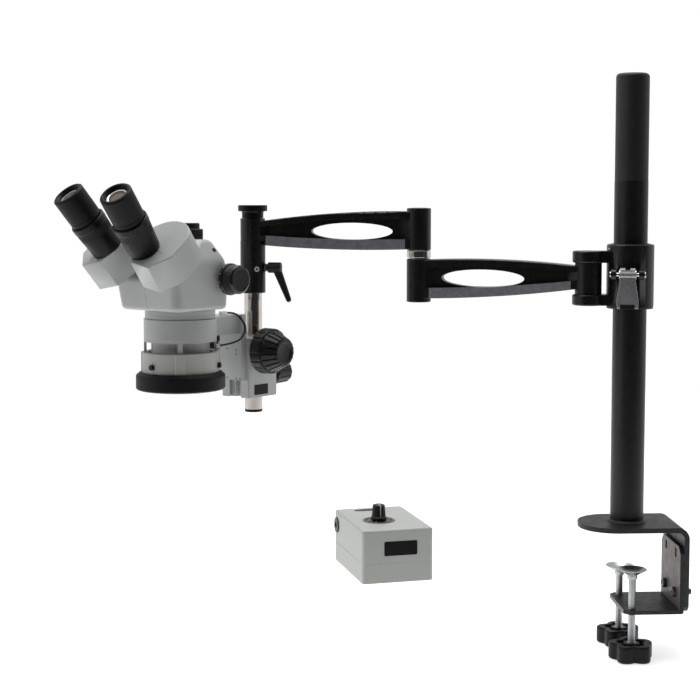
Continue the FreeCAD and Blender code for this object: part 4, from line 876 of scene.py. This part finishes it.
def light_cord():
    curve = bpy.data.curves.new("light_flex", "CURVE")
    curve.dimensions = "3D"
    spline = curve.splines.new("NURBS")
    spline.points.add(len(CORD_ROUTE) - 1)
    for point, place in zip(spline.points, CORD_ROUTE):
        point.co = (*(SCOPE @ Vector(place)), 1.0)
    spline.order_u = 3
    spline.use_endpoint_u = True
    spline.resolution_u = 12
    curve.bevel_depth = CORD_R * MM
    curve.bevel_resolution = 6
    curve.use_fill_caps = True
    curve.materials.append(MATS["cord_black"])
    flex = linked("light_flex", curve)
    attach(flex, "carriage")
    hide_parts("light_cord")
    USED.add("light_cord")
    x, y = CORD_ROUTE[-1][:2]
    here = SCOPE @ Matrix.Translation((x, y, CONNECTOR_Z))
    bm = outline_slab(round_rect(0, 9.0, -3.1, 3.1, 0.4, 3), 0, 4.9, 0.3)
    for side in (-1, 1):
        y = side * 1.5
        joined(bm, outline_slab(round_rect(1.2, 3.6, y - 0.9, y + 0.9, 0.2, 2), 4.8, 5.35, 0.15))
    shell = finished("flex_connector", bm, here, "connector_white", "carriage", replaces=("cord_connector",))
    root = Vector(CORD_ROUTE[0])
    way = (Vector(CORD_ROUTE[1]) - root).normalized()
    boot = turned("flex_relief", [(CORD_R + 0.05, -1.0), (2.1, -1.0, 0.2), (2.0, 1.2, 0.3),
                  (1.45, 3.4, 0.3), (CORD_R + 0.05, 3.4)], 32, lying(SCOPE, root, way), "black_plastic",
                  "carriage", fine=3, loop=True)


# ---- head ----
def smoothed(table, z, width=5.0, n=9):
    """Piecewise-linear table of (z, values...), averaged over a window so its corners are round."""
    def value(h):
        h = min(max(h, table[0][0]), table[-1][0])
        for a, b in zip(table, table[1:]):
            if h <= b[0]:
                t = (h - a[0]) / (b[0] - a[0])
                return [p + (q - p) * t for p, q in zip(a[1:], b[1:])]
        return list(table[-1][1:])
    rows = [value(z + width * (2 * k / (n - 1) - 1)) for k in range(n)]
    return [sum(c) / n for c in zip(*rows)]


def head_half(side):
    """Half of the head's casing as a smooth closed form, split on the middle plane."""
    table = [(264.0, 53.0, -34.0, 49.5, 11.0), (303.0, 60.0, -34.0, 52.0, 12.0),
             (322.0, 36.7, -31.0, 52.0, 13.0), (347.0, 6.0, -18.0, 37.0, 9.0)]
    z0, z1, lip, arc, count = table[0][0], table[-1][0], 5.0, 6, 34
    turns = [math.pi / 2 * k / arc for k in range(arc + 1)]
    heights = [(z0 + lip * (1 - math.cos(t)), lip * (1 - math.sin(t))) for t in turns]
    heights += [(z0 + lip + (z1 - z0 - 2 * lip) * k / count, 0.0) for k in range(1, count)]
    heights += [(z1 - lip * (1 - math.sin(t)), lip * (1 - math.cos(t))) for t in turns]
    rows = []
    for z, inset in heights:
        front, back, half, r = smoothed(table, z)
        front, back, half = front - inset, back + inset, half - inset
        r = max(r - 0.4 * inset, 4.0)
        corner = 10
        pts = round_rect(back, front, -half, half, r, corner)
        dense = []
        for i, (a, b) in enumerate(zip(pts, pts[1:] + pts[:1])):
            steps = 10 if i % (corner + 1) == corner else 1
            dense += [(a[0] + (b[0] - a[0]) * k / steps, a[1] + (b[1] - a[1]) * k / steps, z)
                      for k in range(steps)]
        rows.append(dense)
    bm = bmesh.new()
    grid = [[bm.verts.new(p) for p in row] for row in rows]
    m = len(grid[0])
    for lower, upper in zip(grid, grid[1:]):
        for i in range(m):
            j = (i + 1) % m
            bm.faces.new((lower[i], lower[j], upper[j], upper[i]))
    bm.faces.new(grid[0][::-1])
    bm.faces.new(grid[-1])
    half_gap = 0.16
    bmesh.ops.bisect_plane(bm, geom=bm.verts[:] + bm.edges[:] + bm.faces[:], plane_co=(0, half_gap, 0),
                           plane_no=(0, -1, 0), clear_outer=True)
    bmesh.ops.holes_fill(bm, edges=[e for e in bm.edges if e.is_boundary], sides=0)
    matrix = OPTICS if side == "right" else OPTICS @ MIRROR
    finished(side + "_casing", bm, matrix, "scope_grey", "head", replaces=(side + "_shell",), sharp=50)


def case_screw(side):
    sign = 1 if side == "right" else -1
    spot = lying(OPTICS, (-13.0, sign * 44.5, 334.6), (0, sign * 25.0, 15.0))
    # Casing screw as a near-black dish: painted shade of its hole.
    turned(side + "_case_screw", [(0, -1.0), (2.7, -1.0), (2.7, 0.3, 0.15), (1.7, 0.35, 0.1), (1.4, 0.1),
           (0, 0.1)], 32, spot, "painted_hole_shade", "head", fine=2)


def head():
    for side in ("right", "left"):
        head_half(side)
        case_screw(side)
    turned("head_barrel", [(29.0, 200.4, 0.4), (34.4, 200.4, 0.7), (35.0, 201.4, 0.4), (35.0, 226.8, 0.4),
           (37.9, 228.6, 0.4), (37.9, 253.1), (41.7, 253.1, 0.2), (42.0, 253.6, 0.3), (42.0, 257.6, 0.2),
           (41.6, 258.0, 0.1), (42.0, 258.4, 0.2), (42.0, 262.9, 0.8), (41.0, 263.9, 0.4), (29.0, 263.9)],
           160, OPTICS, "scope_grey", "head", loop=True, replaces=("head_frame",), sharp=40)
    joint = lathe([(30.0, 263.6), (40.2, 263.6), (40.2, 266.0), (30.0, 266.0)], 96, loop=True)
    finished("head_joint_shadow", joint, OPTICS, "seam_dark", "head")
    turned("objective_front", [(0, 202.2), (14, 202.5), (24, 203.3), (28.9, 204.2, 0.4), (28.9, 209.0),
           (0, 210.6)], 96, OPTICS, "glass", "head", fine=3, replaces=("objective_lens",))
    turned("objective_retainer", [(25.5, 202.4, 0.3), (29.2, 202.0, 0.3), (29.2, 204.8), (25.5, 204.8)],
           96, OPTICS, "black_anodised", "head", fine=3, loop=True)
    knurl = scallops(48, 0.35, 0.32, 348.0, 357.8, 0.6)
    turned("phototube_cover", [(0, 346.0), (16.0, 346.0), (16.0, 358.6, 0.8), (12.4, 359.2, 0.3),
           (12.0, 360.0), (12.0, 366.0, 1.4), (9.0, 366.0, 0.4), (8.4, 365.4, 0.4), (0, 365.4)], 48 * 6,
           OPTICS, "black_plastic", "head", step=1.6, cut=knurl, centre=(PHOTOTUBE_X, 0.0),
           replaces=("phototube_cap",), sharp=50)


def zoom():
    spot = OPTICS.inverted() @ at("zoom_turn")
    for side, name in ((1, "near"), (-1, "far")):
        here = lying(OPTICS, (spot.x, side * 55.5, spot.z), (0, side, 0))
        turned("zoom_disc_" + name, [(3.0, 0), (18.2, 0, 0.3), (19.0, 0.8, 0.4), (19.0, 4.4, 0.6),
               (17.5, 5.0, 0.2), (3.0, 5.0)], 144, here, "zoom_black", "zoom_drive", fine=3, loop=True,
               sharp=40)
        turned("zoom_boss_" + name, [(9.0, -6.5), (15.0, -6.5), (15.0, -1.2, 0.5), (14.4, -0.5, 0.2),
               (9.0, -0.5)], 96, here, "scope_grey", "head", fine=3, loop=True)
        knurl = beyond(15.5, scallops(44, 0.25, 0.30, 6.5, 17.5, 0.8))
        turned("zoom_grip_" + name, [(3.0, 4.9), (17.2, 4.9), (17.4, 6.5, 0.4), (17.0, 18.4, 2.4),
               (14.6, 20.0, 1.0), (12.0, 19.7, 4.0), (0, 19.4)], 44 * 6, here, "zoom_black", "zoom_drive",
               fine=5, step=1.4, cut=knurl, replaces=("zoom_knobs",) if side > 0 else (), sharp=50)
        marks = bmesh.new()
        stand_up = (Matrix.Translation((18.98, 0, 2.6)) @ Matrix.Rotation(math.pi / 2, 4, "Y")
                    @ Matrix.Rotation(math.pi / 2, 4, "Z"))
        for k in range(11):
            tick = outline_slab([(-0.25, -1.2), (0.25, -1.2), (0.25, 1.2), (-0.25, 1.2)], 0, 0.12, 0.0)
            joined(marks, placed(tick, Matrix.Rotation(math.radians(30 * k + 8), 4, "Z") @ stand_up))
        finished("zoom_marks_" + name, marks, here, "white_ink", "zoom_drive", weighted=False)


def eyes():
    top = 83.4
    for side in ("right", "left"):
        refine(side + "_prism_housing", 1.6, steps=3, sharp=50.0, creases=(35.0, 48.0, 34.0, 8.0))
        here = EYE[side]
        grooves = beyond(17, scallops(44, 0.45, 0.30, 24.0, 35.6, 0.8))
        turned(side + "_tube_sleeve", [(15.1, 0.2), (18.2, 0.2, 0.4), (18.4, 1.6, 0.6), (18.7, 4.0, 0.8),
               (20.5, 35.5, 0.8), (20.9, 36.6, 0.4), (20.9, 43.2, 0.7), (19.9, 44.0, 0.5), (15.1, 44.0)],
               44 * 6, here, "black_anodised", side + "_eye", step=1.5, cut=grooves, loop=True,
               replaces=(side + "_eye_tube",))
        turned(side + "_ocular_grip", [(14.6, 43.0), (14.9, 44.3), (18.4, 44.3, 0.5), (18.7, 45.6, 0.4),
               (18.75, 49.0, 0.2), (18.3, 49.5, 0.2), (18.3, 50.3, 0.2), (18.8, 50.8, 0.2),
               (18.9, 60.0, 0.5), (18.9, top - 1.6, 1.0), (17.0, top, 1.2), (14.6, top, 0.8),
               (12.4, top - 3.2, 0.8), (12.0, top - 5.0, 0.3), (11.6, top - 5.2), (11.6, top - 8.4),
               (12.0, top - 8.4), (12.0, 43.0)], 128, here, "eye_rubber", side + "_ocular", step=3.0,
               loop=True, replaces=(side + "_eyepiece",))
        turned(side + "_lens_ring", [(10.3, top - 5.3, 0.2), (12.1, top - 4.7, 0.3), (12.3, top - 6.6),
               (10.3, top - 6.6)], 96, here, "steel", side + "_ocular", fine=3, loop=True)
        turned(side + "_lens_glass", [(0, top - 8.3), (11.5, top - 8.3), (11.5, top - 6.3),
               (8.0, top - 5.5), (4.0, top - 5.1), (0, top - 5.0)], 96, here, "glass", side + "_ocular",
               replaces=(side + "_eye_lens",))


# ---- light controller ----
def controller():
    refine("controller_base", 0.4)
    refine("controller_cover", 0.5, steps=3)
    refine("controller_jack", 0.3)
    top = span("controller_cover")[1]
    plate = outline_slab(polygon(17, 96), top, top + 0.5, 0.2)
    hub = rounded([(3.9, top + 0.4), (7.0, top + 0.4), (6.6, top + 0.9, 0.2), (3.9, top + 0.9)])
    finished("dial_plate", joined(plate, lathe(hub, 48, loop=True)), CASE, "label_black", "controller")
    dial_marks(top)
    knob = rounded([(2.0, top - 11.0), (2.0, top + 1.2), (8.2, top + 1.2, 0.4), (8.4, top + 3.6, 0.6),
                    (7.3, top + 4.4, 0.3), (6.5, top + 16.2, 0.7), (5.6, top + 17.0, 0.4),
                    (0, top + 16.7)])
    flutes = beyond(6, scallops(18, 0.45, 0.27, top + 4.3, top + 16.0, 0.6))
    bm = lathe([(0, top - 11.0)] + densify(knob, 1.3), 18 * 10, flutes)
    finished("dimmer_grip", bm, CASE, "black_plastic", "dimmer", replaces=("controller_knob",), sharp=50)
    pointer(top)
    front = lying(CASE, (9.75, -48.5, 36.5), (0, -1, 0), (0, 0, 1))
    label("case_label", 17.75, 7.5, 1.6, 0.25, front, "controller")
    turns = [2 * math.pi * k / 64 for k in range(64)]
    badge = outline_slab([(16 * math.cos(t) * (1 + 0.12 * abs(math.sin(2 * t))), 4.4 * math.sin(t))
                          for t in turns], top - 0.02, top + 0.3, 0.12)
    finished("case_badge", badge, CASE @ Matrix.Translation((4.0, 53.0, 0)), "label_black", "controller")


def dial_marks(top):
    """Eleven strokes round the knob, every fifth one longer, and a thin ring."""
    marks = bmesh.new()
    for k in range(11):
        end = 12.4 if k % 5 else 13.8
        tick = outline_slab([(9.6, -0.35), (end, -0.35), (end, 0.35), (9.6, 0.35)],
                            top + 0.48, top + 0.62, 0.0)
        joined(marks, placed(tick, Matrix.Rotation(math.radians(-60 + 30 * k), 4, "Z")))
    ring = lathe([(15.4, top + 0.48), (15.8, top + 0.48), (15.8, top + 0.6), (15.4, top + 0.6)], 96,
                 loop=True)
    finished("dial_marks", joined(marks, ring), CASE, "white_ink", "controller", weighted=False)


def pointer(top):
    """White line over the knob's top and down its side."""
    half = 0.35
    line = outline_slab([(-half, -6.3), (half, -6.3), (half, 0.3), (-half, 0.3)], top + 16.55, top + 17.1,
                        0.05)
    down = outline_slab([(-half, top + 4.6), (half, top + 4.6), (half, top + 16.7), (-half, top + 16.7)],
                        6.45, 7.55, 0.05)
    joined(line, placed(down, Matrix.Rotation(math.pi / 2, 4, "X")))
    finished("dimmer_pointer", line, CASE, "white_ink", "dimmer", weighted=False)


def plain_parts():
    """Everything still shown as its CAD solid gets the material of its slot."""
    for name, obj in NODES.items():
        if name in USED:
            continue
        obj.data.materials.clear()
        obj.data.materials.append(MATS[SLOT_OF[name]])


# ---- stage ----
def ground():
    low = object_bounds()[0]
    mat = finish_of("pale_floor", (0.86, 0.86, 0.86), 0.75, (60.0, 0.05, 0.0005), 0.01, 0.05)
    glow = mat.node_tree.nodes["Principled BSDF"].inputs
    glow["Emission Color"].default_value = (1.0, 1.0, 1.0, 1.0)
    glow["Emission Strength"].default_value = 0.60
    mesh = bpy.data.meshes.new("floor")
    bm = bmesh.new()
    bmesh.ops.create_grid(bm, x_segments=8, y_segments=8, size=1.6)
    bm.to_mesh(mesh)
    bm.free()
    mesh.materials.append(mat)
    floor = linked("floor", mesh)
    floor.location = (-0.25, 0.85, low.z - 0.0004)


def studio():
    """White all round but dark behind the camera, whose own rays see a plain backdrop."""
    world = bpy.data.worlds.new("studio")
    bpy.context.scene.world = world
    world.use_nodes = True
    nt = world.node_tree
    coord = node(nt, "TexCoord")
    dot = node(nt, "VectorMath", operation="DOT_PRODUCT")
    dot.inputs[1].default_value = Vector((0.18, -1.0, -0.05)).normalized()
    link(nt, coord, "Generated", dot, 0)
    ramp = node(nt, "ValToRGB")
    for stop, place, tone in zip(ramp.color_ramp.elements, (0.10, 0.58), (1.0, 0.035)):
        stop.position = place
        stop.color = (tone, tone, tone, 1)
    link(nt, dot, "Value", ramp, "Fac")
    backdrop = node(nt, "Mix", data_type="RGBA")
    backdrop.inputs[MIX_B].default_value = (*BACKDROP, 1)
    link(nt, node(nt, "LightPath"), "Is Camera Ray", backdrop, MIX_FACTOR)
    link(nt, ramp, "Color", backdrop, MIX_A)
    background = nt.nodes["Background"]
    link(nt, backdrop, MIX_OUT, background, "Color")
    background.inputs["Strength"].default_value = 0.75


def lights():
    for name, place, aim, size, power in (
            ("key", (-1.7, -1.1, 1.5), (-0.35, 0, 0.25), 1.3, 3.0),
            ("fill", (1.3, -1.3, 0.9), (-0.1, 0, 0.25), 1.2, 0.8),
            ("top", (-0.3, 0.3, 1.9), (-0.3, 0, 0.2), 1.6, 20.0)):
        lamp = bpy.data.lights.new(name, "AREA")
        lamp.shape = "DISK"
        lamp.size = size
        lamp.energy = power
        obj = linked(name, lamp)
        obj.location = place
        obj.rotation_mode = "QUATERNION"
        obj.rotation_quaternion = (Vector(aim) - Vector(place)).to_track_quat("-Z", "Y")


def camera():
    """The photograph's view: level with the head, pitched down a little."""
    cam = bpy.data.cameras.new("camera")
    cam.sensor_width = 36.0
    cam.lens = 77.14
    cam.shift_y = -0.05
    cam.clip_start, cam.clip_end = 0.05, 60.0
    holder = linked("camera", cam)
    holder.location = (-0.33485, -1.79107, 0.39708)
    holder.rotation_euler = (math.radians(90 - 4.5), 0, 0)
    bpy.context.scene.camera = holder
    bpy.context.scene.view_settings.view_transform = "Standard"


ground()
studio()
lights()
camera()
light_cord()
pole()
clamp()
clamp_screws()
collar()
arms()
post_set()
focus_group()
block_details()
ring_light()
head()
zoom()
eyes()
controller()
plain_parts()

bpy.context.view_layer.update()
